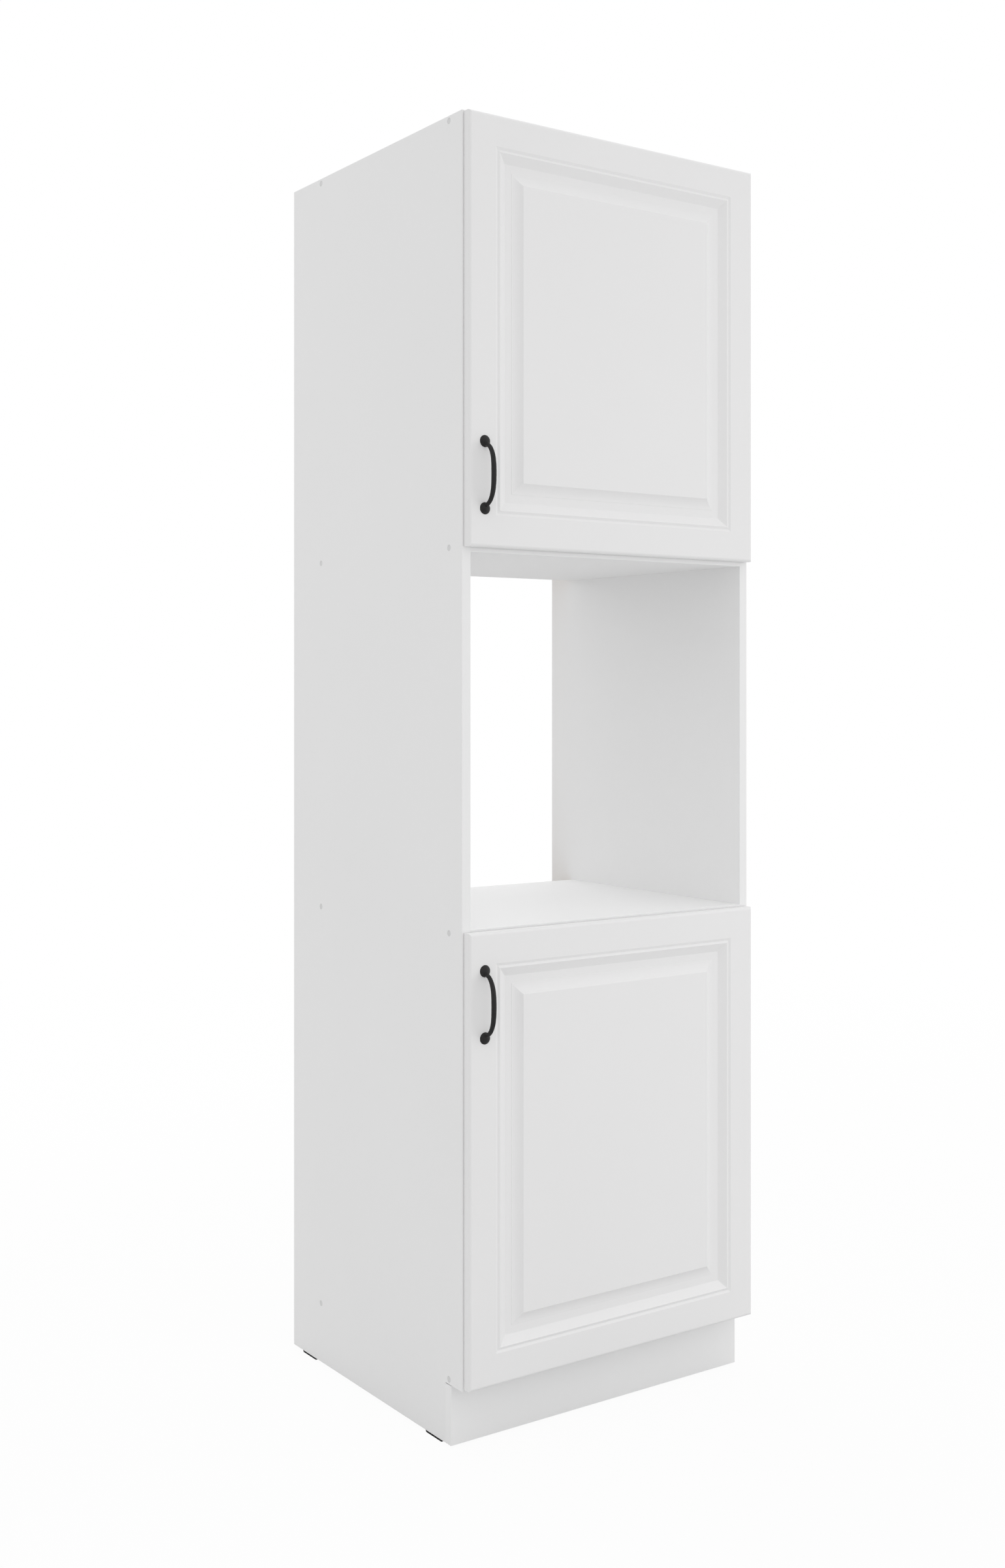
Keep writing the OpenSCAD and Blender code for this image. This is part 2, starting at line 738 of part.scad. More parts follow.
// Pressed cup let into the door, with its flange and the swinging pin
module hinge_cup(n) {
    z = hinge_z[n];
    half = cup_screw_z + flange_over;
    pin_half = sqrt(pow(cup_r - cup_wall / 2, 2) - pow(cup_pin[0] - cup_x, 2));
    color(nickel) place() {
        difference() {
            union() {
                translate([cup_x, -door_gap - cup_deep, z]) rod_y(cup_r, cup_deep);
                translate([flange_x - flange_w / 2, -door_gap, z - half])
                    cube([flange_w, flange_t, 2 * half]);
            }
            translate([cup_x, -door_gap - cup_deep + cup_wall, z]) rod_y(cup_in_r, cup_deep + cut);
            for (side = [-1, 1]) translate([flange_x, -door_gap - cut, z + side * cup_screw_z])
                rod_y(cup_screw_r + fit, flange_t + 2 * cut);
        }
        plan_solid(z, pin_half) translate(cup_pin) circle(hinge_pin_r);
    }
}

module plate_screws(pair) {
    color(nickel) place() for (n = pair, side = [-1, 1])
        translate([inner_half, plate_back, hinge_z[n] + side * plate_pitch / 2]) {
            translate([-wing_t, 0, 0])
                rod_x(plate_screw_r, wing_t + plate_screw_len - plate_tip_gap);
            translate([-wing_t - small_head_h, 0, 0]) rod_x(1.4 * plate_screw_r, small_head_h);
        }
}

module arm_screws(pair) {
    color(nickel) place() for (n = pair) translate([arm_web_x, clamp_y, hinge_z[n]]) {
        rod_x(clamp_r, clamp_len);
        translate([-clamp_head_h, 0, 0]) rod_x(1.7 * clamp_r, clamp_head_h);
    }
}

module cup_screws(pair) {
    color(nickel) place() for (n = pair, side = [-1, 1])
        translate([flange_x, -door_gap + flange_t, hinge_z[n] + side * cup_screw_z]) {
            translate([0, -cup_screw_len, 0]) rod_y(cup_screw_r, cup_screw_len);
            rod_y(2 * cup_screw_r, cup_head_h);
        }
}

module hinge_plate_1() hinge_plate(0);
module hinge_plate_2() hinge_plate(1);
module hinge_plate_3() hinge_plate(2);
module hinge_plate_4() hinge_plate(3);
module hinge_arm_1() hinge_arm(0);
module hinge_arm_2() hinge_arm(1);
module hinge_arm_3() hinge_arm(2);
module hinge_arm_4() hinge_arm(3);
module hinge_link_1() hinge_link(0);
module hinge_link_2() hinge_link(1);
module hinge_link_3() hinge_link(2);
module hinge_link_4() hinge_link(3);
module hinge_cup_1() hinge_cup(0);
module hinge_cup_2() hinge_cup(1);
module hinge_cup_3() hinge_cup(2);
module hinge_cup_4() hinge_cup(3);
module plate_screws_lower() plate_screws([0, 1]);
module plate_screws_upper() plate_screws([2, 3]);
module arm_screws_lower() arm_screws([0, 1]);
module arm_screws_upper() arm_screws([2, 3]);
module cup_screws_lower() cup_screws([0, 1]);
module cup_screws_upper() cup_screws([2, 3]);

side_panel_left();
side_panel_right();
top_panel();
niche_ceiling();
niche_floor();
bottom_panel();
back_board_upper();
back_board_lower();
plinth_board();
plinth_cleat_left();
plinth_cleat_right();
plinth_screws();
glide_front_left();
glide_front_right();
glide_rear_left();
glide_rear_right();
board_screws_left();
board_screws_right();
screw_caps_left();
screw_caps_right();
shelf_upper();
shelf_lower();
shelf_pins_upper();
shelf_pins_lower();
hinge_plate_1();
hinge_plate_2();
hinge_plate_3();
hinge_plate_4();
hinge_arm_1();
hinge_arm_2();
hinge_arm_3();
hinge_arm_4();
hinge_link_1();
hinge_link_2();
hinge_link_3();
hinge_link_4();
hinge_cup_1();
hinge_cup_2();
hinge_cup_3();
hinge_cup_4();
plate_screws_lower();
plate_screws_upper();
arm_screws_lower();
arm_screws_upper();
cup_screws_lower();
cup_screws_upper();
door_upper();
door_lower();
handle_upper();
handle_lower();
handle_screws_upper();
handle_screws_lower();
door_bumpers_upper();
door_bumpers_lower();
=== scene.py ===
import math

import bmesh
import bpy
from mathutils import Matrix, Vector


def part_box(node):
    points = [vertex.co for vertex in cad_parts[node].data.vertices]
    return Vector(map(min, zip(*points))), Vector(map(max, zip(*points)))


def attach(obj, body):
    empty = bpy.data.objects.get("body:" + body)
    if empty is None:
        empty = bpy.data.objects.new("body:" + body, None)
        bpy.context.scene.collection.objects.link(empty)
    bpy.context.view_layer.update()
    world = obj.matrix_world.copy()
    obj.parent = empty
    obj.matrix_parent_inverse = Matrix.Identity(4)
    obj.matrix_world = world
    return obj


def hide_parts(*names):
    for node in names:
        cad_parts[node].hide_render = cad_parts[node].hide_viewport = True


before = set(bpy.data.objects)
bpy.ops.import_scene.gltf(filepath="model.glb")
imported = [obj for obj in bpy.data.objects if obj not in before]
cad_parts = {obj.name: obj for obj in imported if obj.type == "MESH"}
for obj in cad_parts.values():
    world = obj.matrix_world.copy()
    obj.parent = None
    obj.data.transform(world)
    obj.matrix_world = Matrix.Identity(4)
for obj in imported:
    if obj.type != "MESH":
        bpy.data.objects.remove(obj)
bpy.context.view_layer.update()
print("frame loaded,", len(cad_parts), "nodes")

# a level camera at the photograph's place
photo = {"high": 2400, "eyeRow": 1055.6}  # pixel rows; eyeRow shows what is as high as the camera
cameraSetup = {
    "place": (-1.801, -2.5189, 1.1952),
    "looks": (0.5716, 0.8205, 0.0),
    "lens": 40.0,
    "sensor": 36.0,
    "nearest": 0.05,
    "farthest": 100.0,
}


def makeCamera():
    lens = bpy.data.cameras.new("camera")
    lens.sensor_width = cameraSetup["sensor"]
    lens.lens = cameraSetup["lens"]
    lens.shift_y = (photo["eyeRow"] - photo["high"] / 2) / photo["high"]
    lens.clip_start = cameraSetup["nearest"]
    lens.clip_end = cameraSetup["farthest"]
    camera = bpy.data.objects.new("camera", lens)
    bpy.context.scene.collection.objects.link(camera)
    camera.location = cameraSetup["place"]
    camera.rotation_euler = Vector(cameraSetup["looks"]).to_track_quat("-Z", "Y").to_euler()
    bpy.context.scene.camera = camera


makeCamera()
print("camera ready")

# helpers for modelling; sizes are in metres
nearly = 1e-6  # two places closer than this are one
straight = 0.99  # a face this square to an axis faces along it
lyingBack = (math.pi / 2, 0, 0)  # turns what stands upright to lie along y


def objectMode():
    if bpy.context.object and bpy.context.object.mode != "OBJECT":
        bpy.ops.object.mode_set(mode="OBJECT")
    bpy.ops.object.select_all(action="DESELECT")


def takePiece(piece):
    objectMode()
    piece.select_set(True)
    bpy.context.view_layer.objects.active = piece


def editMode(piece, kind="FACE"):
    takePiece(piece)
    bpy.ops.object.mode_set(mode="EDIT")
    bpy.ops.mesh.select_mode(type=kind)
    bpy.ops.mesh.select_all(action="DESELECT")


def pickFaces(piece, wanted):
    bpy.ops.mesh.select_all(action="DESELECT")
    mesh = bmesh.from_edit_mesh(piece.data)
    for face in [face for face in mesh.faces if wanted(face)]:
        face.select_set(True)
    bmesh.update_edit_mesh(piece.data)


def pickEdges(piece, wanted):
    bpy.ops.mesh.select_all(action="DESELECT")
    mesh = bmesh.from_edit_mesh(piece.data)
    for edge in [edge for edge in mesh.edges if wanted(edge)]:
        edge.select_set(True)
    bmesh.update_edit_mesh(piece.data)


def freshPiece(name):
    # names the primitive that was just added and puts its place and turn into its mesh
    piece = bpy.context.object
    piece.name = name
    piece.data.name = name
    bpy.ops.object.transform_apply(location=True, rotation=True, scale=True)
    return piece


def startBlock(name, low, high):
    low, high = Vector(low), Vector(high)
    objectMode()
    bpy.ops.mesh.primitive_cube_add(size=1, location=(low + high) / 2)
    bpy.context.object.scale = high - low
    return freshPiece(name)


def boxMiddle(node):
    low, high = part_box(node)
    return (low + high) / 2


def startDrum(name, radius, depth, centre, turn=(0, 0, 0), sides=48):
    objectMode()
    bpy.ops.mesh.primitive_cylinder_add(
        vertices=sides, radius=radius, depth=depth, location=centre, rotation=turn
    )
    return freshPiece(name)


def joinPieces(pieces, name):
    objectMode()
    for piece in pieces:
        piece.select_set(True)
    bpy.context.view_layer.objects.active = pieces[0]
    bpy.ops.object.join()
    pieces[0].name = name
    pieces[0].data.name = name
    return pieces[0]


def useModifier(piece, kind, **settings):
    takePiece(piece)
    modifier = piece.modifiers.new(kind.lower(), kind)
    for key, value in settings.items():
        setattr(modifier, key, value)
    bpy.ops.object.modifier_apply(modifier=modifier.name)


def cutAway(piece, cutter):
    useModifier(piece, "BOOLEAN", operation="DIFFERENCE", object=cutter, solver="EXACT")
    bpy.data.objects.remove(cutter)


def smoothShade(piece, angle=30, weighted=True):
    takePiece(piece)
    bpy.ops.object.shade_smooth_by_angle(angle=math.radians(angle), keep_sharp_edges=True)
    if weighted:
        useModifier(piece, "WEIGHTED_NORMAL", keep_sharp=True, weight=80)


def copyPiece(piece, name, move=(0, 0, 0), turn=None):
    twin = piece.copy()
    twin.data = piece.data.copy()
    twin.name = name
    twin.data.name = name
    bpy.context.scene.collection.objects.link(twin)
    twin.data.transform(Matrix.Translation(move) @ (turn or Matrix.Identity(4)))
    return twin


def finishPiece(piece, material, slot, body, *nodes):
    piece.data.materials.clear()
    piece.data.materials.append(material)
    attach(piece, body)
    if nodes:
        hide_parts(*nodes)
    return piece


def insetStep(inward, outward):
    bpy.ops.mesh.inset(thickness=inward, depth=outward, use_even_offset=True)


# shader groups that the materials share, and short ways to add their nodes
def startGroup(name, inputs, outputs):
    group = bpy.data.node_groups.new(name, "ShaderNodeTree")
    for label, kind, value in inputs:
        socket = group.interface.new_socket(name=label, in_out="INPUT", socket_type=kind)
        if value is not None:
            socket.default_value = value
    for label, kind in outputs:
        group.interface.new_socket(name=label, in_out="OUTPUT", socket_type=kind)
    return group, group.nodes.new("NodeGroupInput").outputs, group.nodes.new("NodeGroupOutput").inputs


def addNode(tree, kind, inputs=None, **settings):
    node = tree.nodes.new(kind)
    for key, value in settings.items():
        setattr(node, key, value)
    for key, value in (inputs or {}).items():
        if isinstance(value, bpy.types.NodeSocket):
            tree.links.new(value, node.inputs[key])
        else:
            node.inputs[key].default_value = value
    return node


def doMath(tree, operation, first, second=0.0, clamp=False):
    node = addNode(tree, "ShaderNodeMath", {0: first, 1: second}, operation=operation, use_clamp=clamp)
    return node.outputs[0]


def weigh(tree, *parts):
    # the sum of some values, each times its own share
    total = None
    for value, share in parts:
        part = doMath(tree, "MULTIPLY", value, share)
        total = part if total is None else doMath(tree, "ADD", total, part)
    return total


def mixColour(tree, amount, first, second):
    node = addNode(tree, "ShaderNodeMix", data_type="RGBA")
    for key, value in (("Factor", amount), ("A", first), ("B", second)):
        # the colour mix has its own sockets behind the ones for numbers
        socket = next(place for place in node.inputs if place.name == key and place.enabled)
        if isinstance(value, bpy.types.NodeSocket):
            tree.links.new(value, socket)
        else:
            socket.default_value = value
    return next(place for place in node.outputs if place.enabled)


def noise(tree, vector, scale, detail=2.0, roughness=0.5):
    node = addNode(
        tree, "ShaderNodeTexNoise",
        {"Vector": vector, "Scale": scale, "Detail": detail, "Roughness": roughness},
    )
    return node.outputs["Fac"]


def stretch(tree, vector, scale):
    return addNode(tree, "ShaderNodeMapping", {"Vector": vector, "Scale": scale}).outputs[0]


def spread(tree, value, low=0.0, high=1.0, toLow=0.0, toHigh=1.0):
    # stretches the values from low to high over the values from toLow to toHigh
    node = addNode(
        tree, "ShaderNodeMapRange",
        {"Value": value, "From Min": low, "From Max": high, "To Min": toLow, "To Max": toHigh},
    )
    return node.outputs[0]


def makePearlSkin():
    # fine pearl of a coated board or foil, with a faint broad mottling
    group, inside, out = startGroup(
        "pearlSkin",
        [("Vector", "NodeSocketVector", None), ("Pearls", "NodeSocketFloat", 900.0),
         ("Waves", "NodeSocketFloat", 120.0), ("Wave Share", "NodeSocketFloat", 0.4)],
        [("Height", "NodeSocketFloat"), ("Shade", "NodeSocketFloat")],
    )
    pearls = noise(group, inside["Vector"], inside["Pearls"], detail=3.0, roughness=0.6)
    waves = noise(group, inside["Vector"], inside["Waves"])
    mixed = doMath(group, "ADD", pearls, doMath(group, "MULTIPLY", waves, inside["Wave Share"]))
    group.links.new(mixed, out["Height"])
    broad = noise(group, inside["Vector"], scale=3.0, detail=3.0, roughness=0.6)
    fine = noise(group, inside["Vector"], inside["Waves"], detail=3.0, roughness=0.7)
    both = weigh(group, (broad, 0.7), (fine, 0.3))
    group.links.new(spread(group, both, low=0.3, high=0.7), out["Shade"])
    return group


def makeCutFaces():
    # a mask for all that lies behind the y called Rear, where a board is bare
    group, inside, out = startGroup(
        "cutFaces",
        [("Vector", "NodeSocketVector", None), ("Rear", "NodeSocketFloat", 1.0)],
        [("Mask", "NodeSocketFloat")],
    )
    parts = addNode(group, "ShaderNodeSeparateXYZ", {0: inside["Vector"]})
    group.links.new(doMath(group, "GREATER_THAN", parts.outputs["Y"], inside["Rear"]), out["Mask"])
    return group


chipTones = {
    "dark": (0.30, 0.19, 0.10, 1),
    "middle": (0.55, 0.39, 0.23, 1),
    "light": (0.72, 0.55, 0.36, 1),
    "dust": (0.78, 0.64, 0.45, 1),
    "middleAt": 0.45,
}


def makeChipCore():
    # pressed wood chips, as a sawn edge shows them
    group, inside, out = startGroup(
        "chipCore",
        [("Vector", "NodeSocketVector", None), ("Chips", "NodeSocketFloat", 420.0)],
        [("Color", "NodeSocketColor"), ("Height", "NodeSocketFloat")],
    )
    place = inside["Vector"]
    wobble = addNode(group, "ShaderNodeTexNoise", {"Vector": place, "Scale": 90.0, "Detail": 2.0})
    slip = addNode(
        group, "ShaderNodeVectorMath", {0: wobble.outputs["Color"], "Scale": 0.012}, operation="SCALE"
    )
    bent = addNode(group, "ShaderNodeVectorMath", {0: slip.outputs[0], 1: place}, operation="ADD")
    flakes = addNode(group, "ShaderNodeTexVoronoi", {"Vector": bent.outputs[0], "Scale": inside["Chips"]})
    tone = addNode(group, "ShaderNodeSeparateColor", {0: flakes.outputs["Color"]}).outputs[0]
    ramp = addNode(group, "ShaderNodeValToRGB", {0: tone})
    stops = ramp.color_ramp.elements
    stops[0].color = chipTones["dark"]
    stops[1].color = chipTones["light"]
    stops.new(chipTones["middleAt"]).color = chipTones["middle"]
    dust = noise(group, place, scale=1500.0, roughness=0.6)
    amount = spread(group, dust, low=0.45, high=0.7, toHigh=0.5)
    group.links.new(mixColour(group, amount, ramp.outputs[0], chipTones["dust"]), out["Color"])
    group.links.new(doMath(group, "SUBTRACT", tone, flakes.outputs["Distance"]), out["Height"])
    return group


fibreTones = {
    "dark": (0.19, 0.125, 0.078, 1),
    "light": (0.35, 0.245, 0.160, 1),
    "upright": (260.0, 260.0, 60.0),  # fibres to the metre each way, in the upright layer
    "across": (70.0, 260.0, 300.0),
}


def makeFibreBoard():
    # the bare brown side of a thin pressed fibre board
    group, inside, out = startGroup(
        "fibreBoard",
        [("Vector", "NodeSocketVector", None)],
        [("Color", "NodeSocketColor"), ("Height", "NodeSocketFloat")],
    )
    lying = [stretch(group, inside["Vector"], fibreTones[way]) for way in ("upright", "across")]
    upright, across = [noise(group, way, scale=1.0, detail=4.0, roughness=0.7) for way in lying]
    fibres = doMath(group, "MULTIPLY", doMath(group, "ADD", upright, across), 0.5)
    broad = noise(group, inside["Vector"], scale=9.0, detail=4.0, roughness=0.6)
    tone = spread(group, weigh(group, (fibres, 0.75), (broad, 0.25)), low=0.38, high=0.62)
    group.links.new(mixColour(group, tone, fibreTones["dark"], fibreTones["light"]), out["Color"])
    group.links.new(fibres, out["Height"])
    return group


def makeCastSkin():
    # uneven skin of cast and painted iron: dents, pits and a dry bloom
    group, inside, out = startGroup(
        "castSkin",
        [("Vector", "NodeSocketVector", None), ("Dents", "NodeSocketFloat", 420.0)],
        [("Height", "NodeSocketFloat"), ("Bloom", "NodeSocketFloat")],
    )
    dents = noise(group, inside["Vector"], inside["Dents"], detail=3.0, roughness=0.55)
    cells = addNode(
        group, "ShaderNodeTexVoronoi", {"Vector": inside["Vector"], "Scale": 1500.0}, feature="SMOOTH_F1"
    )
    pits = spread(group, cells.outputs["Distance"], high=0.45)
    fine = noise(group, inside["Vector"], scale=4200.0, roughness=0.6)
    group.links.new(weigh(group, (dents, 0.6), (pits, 0.28), (fine, 0.12)), out["Height"])
    patches = noise(group, inside["Vector"], scale=160.0, detail=4.0, roughness=0.65)
    bloom = doMath(group, "MULTIPLY", patches, pits)
    group.links.new(spread(group, bloom, low=0.2, high=0.6), out["Bloom"])
    return group


def makeDrawnLines():
    # fine lines that rolling and polishing leave in sheet metal
    group, inside, out = startGroup(
        "drawnLines",
        [("Vector", "NodeSocketVector", None), ("Stretch", "NodeSocketVector", (2500.0, 300.0, 2500.0))],
        [("Height", "NodeSocketFloat"), ("Shade", "NodeSocketFloat")],
    )
    longer = addNode(
        group, "ShaderNodeVectorMath", {0: inside["Vector"], 1: inside["Stretch"]}, operation="MULTIPLY"
    )
    lines = noise(group, longer.outputs[0], scale=1.0, roughness=0.6)
    group.links.new(lines, out["Height"])
    smear = noise(group, inside["Vector"], scale=90.0, detail=3.0, roughness=0.6)
    both = weigh(group, (lines, 0.5), (smear, 0.5))
    group.links.new(spread(group, both, low=0.3, high=0.7), out["Shade"])
    return group


pearlSkin = makePearlSkin()
cutFaces = makeCutFaces()
chipCore = makeChipCore()
fibreBoard = makeFibreBoard()
castSkin = makeCastSkin()
drawnLines = makeDrawnLines()
print("shader groups ready")


# one material for each finish, with its look beside it
def startMaterial(name, **constants):
    material = bpy.data.materials.new(name)
    material.use_nodes = True
    tree = material.node_tree
    shader = next(node for node in tree.nodes if node.type == "BSDF_PRINCIPLED")
    for key, value in constants.items():
        shader.inputs[key.replace("_", " ")].default_value = value
    place = addNode(tree, "ShaderNodeTexCoord")
    return material, tree, shader, place


def useGroup(tree, group, **inputs):
    node = tree.nodes.new("ShaderNodeGroup")
    node.node_tree = group
    for key, value in inputs.items():
        socket = node.inputs[key.replace("_", " ")]
        if isinstance(value, bpy.types.NodeSocket):
            tree.links.new(value, socket)
        else:
            socket.default_value = value
    return node.outputs


def spreadTo(tree, value, limits):
    return spread(tree, value, toLow=limits[0], toHigh=limits[1])


def connect(tree, shader, colour, roughness, height, strength, distance=0.0002):
    tree.links.new(colour, shader.inputs["Base Color"])
    tree.links.new(roughness, shader.inputs["Roughness"])
    bump = addNode(tree, "ShaderNodeBump", {"Strength": strength, "Distance": distance, "Height": height})
    tree.links.new(bump.outputs[0], shader.inputs["Normal"])


# skin: pearls and waves per metre, and how much the waves count
boardLook = {
    "light": (0.895, 0.895, 0.895, 1),
    "dark": (0.880, 0.880, 0.880, 1),
    "rough": (0.50, 0.58),
    "gloss": 0.28,
    "bump": 0.10,
    "skin": (900.0, 120.0, 0.4),
}
bareBoard = {
    "edge": 0.00005,  # the bare look starts this far before a sawn rear edge
    "never": 9.0,  # a y behind everything, for pieces without a sawn edge
    "chipRough": 0.85,
    "chipHeight": 6.0,
}


def makeBoardMaterial(name, look, rear):
    # coated chipboard: white skin, bare chips behind the y of its sawn rear edge
    material, tree, shader, place = startMaterial(name, Specular_IOR_Level=look["gloss"])
    pearls, waves, waveShare = look["skin"]
    skin = useGroup(
        tree, pearlSkin, Vector=place.outputs["Object"], Pearls=pearls, Waves=waves, Wave_Share=waveShare
    )
    bare = useGroup(tree, cutFaces, Vector=place.outputs["Object"], Rear=rear)["Mask"]
    chips = useGroup(tree, chipCore, Vector=place.outputs["Object"])
    white = mixColour(tree, skin["Shade"], look["dark"], look["light"])
    colour = mixColour(tree, bare, white, chips["Color"])
    gloss = spreadTo(tree, skin["Shade"], look["rough"])
    roughness = doMath(tree, "MAXIMUM", gloss, doMath(tree, "MULTIPLY", bare, bareBoard["chipRough"]))
    torn = doMath(tree, "MULTIPLY", chips["Height"], bare)
    torn = doMath(tree, "MULTIPLY", torn, bareBoard["chipHeight"])
    connect(tree, shader, colour, roughness, doMath(tree, "ADD", skin["Height"], torn), look["bump"])
    return material


bandLook = {
    "light": (0.905, 0.905, 0.905, 1),
    "dark": (0.895, 0.895, 0.895, 1),
    "rough": (0.44, 0.52),
    "gloss": 0.32,
    "bump": 0.06,
    "skin": (1400.0, 120.0, 0.15),
}
# the plinth's white is lighter than the other boards': painted light that makes up for the shade of the
# toe recess
plinthPaintedLightLook = {
    "light": (0.918, 0.918, 0.918, 1),
    "dark": (0.903, 0.903, 0.903, 1),
    "rough": (0.46, 0.54),
    "gloss": 0.30,
    "bump": 0.08,
    "skin": (900.0, 120.0, 0.4),
}
foilLook = {
    "light": (0.885, 0.882, 0.883, 1),
    "dark": (0.870, 0.867, 0.868, 1),
    "rough": (0.50, 0.58),
    "gloss": 0.30,
    "bump": 0.07,
}


def makeFoilMaterial():
    # satin foil over pressed fibre board, with the faint waves of the press
    material, tree, shader, place = startMaterial("satinFoil", Specular_IOR_Level=foilLook["gloss"])
    skin = useGroup(
        tree, pearlSkin, Vector=place.outputs["Object"], Pearls=1400.0, Waves=260.0, Wave_Share=0.8
    )
    colour = mixColour(tree, skin["Shade"], foilLook["dark"], foilLook["light"])
    gloss = spreadTo(tree, skin["Shade"], foilLook["rough"])
    connect(tree, shader, colour, gloss, skin["Height"], foilLook["bump"])
    return material


hardboardLook = {"skinThick": 0.0002, "rough": (0.42, 0.78), "bump": 0.15, "fibreHeight": 3.0}


def makeHardboardMaterial():
    # white on the side that faces into the unit, bare fibres on the back
    look = hardboardLook
    material, tree, shader, place = startMaterial("paintedHardboard")
    skin = useGroup(
        tree, pearlSkin, Vector=place.outputs["Object"], Pearls=700.0, Waves=90.0, Wave_Share=0.6
    )
    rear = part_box("back_board_upper")[0].y + look["skinThick"]
    bare = useGroup(tree, cutFaces, Vector=place.outputs["Object"], Rear=rear)["Mask"]
    fibres = useGroup(tree, fibreBoard, Vector=place.outputs["Object"])
    white = mixColour(tree, skin["Shade"], boardLook["dark"], boardLook["light"])
    colour = mixColour(tree, bare, white, fibres["Color"])
    gloss = spreadTo(tree, bare, look["rough"])
    loose = doMath(tree, "MULTIPLY", doMath(tree, "MULTIPLY", fibres["Height"], bare), look["fibreHeight"])
    connect(tree, shader, colour, gloss, doMath(tree, "ADD", skin["Height"], loose), look["bump"])
    return material


timberLook = {
    "light": (0.74, 0.56, 0.34, 1),
    "dark": (0.50, 0.33, 0.17, 1),
    "fibre": (0.36, 0.22, 0.11, 1),
    "rough": (0.62, 0.74),
    "bump": 0.25,
    "alongGrain": (1.0, 1.0, 0.06),
    "fibreSize": (1600.0, 1600.0, 40.0),
}


def makeTimberMaterial():
    # planed softwood: rings seen along the grain, which runs upright
    material, tree, shader, place = startMaterial("planedSoftwood")
    along = stretch(tree, place.outputs["Object"], timberLook["alongGrain"])
    drift = noise(tree, along, scale=14.0, detail=3.0, roughness=0.6)
    rings = addNode(
        tree, "ShaderNodeTexWave",
        {"Vector": along, "Scale": 55.0, "Distortion": 3.0, "Detail": 2.0, "Detail Scale": 1.5},
        bands_direction="DIAGONAL",
    ).outputs["Fac"]
    across = stretch(tree, place.outputs["Object"], timberLook["fibreSize"])
    fibres = noise(tree, across, scale=1.0, roughness=0.6)
    tone = weigh(tree, (rings, 0.55), (drift, 0.45))
    colour = mixColour(tree, tone, timberLook["dark"], timberLook["light"])
    pores = spread(tree, fibres, low=0.5, high=0.75, toHigh=0.25)
    colour = mixColour(tree, pores, colour, timberLook["fibre"])
    connect(tree, shader, colour, spreadTo(tree, tone, timberLook["rough"]), fibres, timberLook["bump"])
    return material


ironLook = {
    "dark": (0.008, 0.0076, 0.0078, 1),
    "bloom": (0.022, 0.021, 0.0215, 1),
    "rough": (0.42, 0.62),
    "gloss": 0.28,
    "bump": 0.45,
    "pitDepth": 0.0004,
}


def makeIronMaterial():
    # black cast iron, drier and lighter where it has bloomed
    material, tree, shader, place = startMaterial("blackIron", Specular_IOR_Level=ironLook["gloss"])
    skin = useGroup(tree, castSkin, Vector=place.outputs["Object"])
    colour = mixColour(tree, skin["Bloom"], ironLook["dark"], ironLook["bloom"])
    gloss = spreadTo(tree, skin["Bloom"], ironLook["rough"])
    connect(tree, shader, colour, gloss, skin["Height"], ironLook["bump"], ironLook["pitDepth"])
    return material


nickelLook = {
    "dark": (0.60, 0.59, 0.57, 1),
    "light": (0.70, 0.69, 0.67, 1),
    "rough": (0.24, 0.36),
    "bump": 0.08,
    "lineDepth": 0.0001,
    "sheetLines": (2500.0, 300.0, 2500.0),
    "screwLines": (1800.0, 1800.0, 1800.0),
}


def makeNickelMaterial(name, lines):
    # nickel-plated steel with the fine lines of its making
    material, tree, shader, place = startMaterial(name, Metallic=1.0)
    skin = useGroup(tree, drawnLines, Vector=place.outputs["Object"], Stretch=lines)
    colour = mixColour(tree, skin["Shade"], nickelLook["dark"], nickelLook["light"])
    gloss = spreadTo(tree, skin["Shade"], nickelLook["rough"])
    connect(tree, shader, colour, gloss, skin["Height"], nickelLook["bump"], nickelLook["lineDepth"])
    return material


plasticLooks = {
    # the caps are grey plastic; part of their darkness below the boards' white is painted shade of the
    # recess round each cap
    "capPlasticPaintedShade": {
        "dark": (0.70, 0.70, 0.70, 1), "light": (0.74, 0.74, 0.74, 1),
        "rough": (0.44, 0.54), "grain": 1800.0, "bump": 0.12,
    },
    "blackPlastic": {
        "dark": (0.012, 0.012, 0.013, 1), "light": (0.022, 0.022, 0.023, 1),
        "rough": (0.42, 0.56), "grain": 2200.0, "bump": 0.30,
    },
    "softPad": {
        "dark": (0.66, 0.66, 0.65, 1), "light": (0.73, 0.73, 0.72, 1),
        "rough": (0.30, 0.42), "grain": 1200.0, "bump": 0.10,
    },
}


def makePlasticMaterial(name):
    look = plasticLooks[name]
    material, tree, shader, place = startMaterial(name)
    skin = useGroup(
        tree, pearlSkin, Vector=place.outputs["Object"], Pearls=look["grain"], Waves=300.0, Wave_Share=0.3
    )
    colour = mixColour(tree, skin["Shade"], look["dark"], look["light"])
    gloss = spreadTo(tree, skin["Shade"], look["rough"])
    connect(tree, shader, colour, gloss, skin["Height"], look["bump"], distance=0.0001)
    return material


def rearEdge(node):
    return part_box(node)[1].y - bareBoard["edge"]


sideBoard = makeBoardMaterial("sideBoard", boardLook, rearEdge("side_panel_left"))
levelBoard = makeBoardMaterial("levelBoard", boardLook, rearEdge("top_panel"))
# painted light: the plinth gets a lighter copy of the board's white
plinthPaintedLight = makeBoardMaterial("plinthPaintedLight", plinthPaintedLightLook, bareBoard["never"])
edgeBand = makeBoardMaterial("edgeBand", bandLook, bareBoard["never"])
satinFoil = makeFoilMaterial()
paintedHardboard = makeHardboardMaterial()
planedSoftwood = makeTimberMaterial()
blackIron = makeIronMaterial()
nickelSheet = makeNickelMaterial("nickelSheet", nickelLook["sheetLines"])
nickelScrew = makeNickelMaterial("nickelScrew", nickelLook["screwLines"])
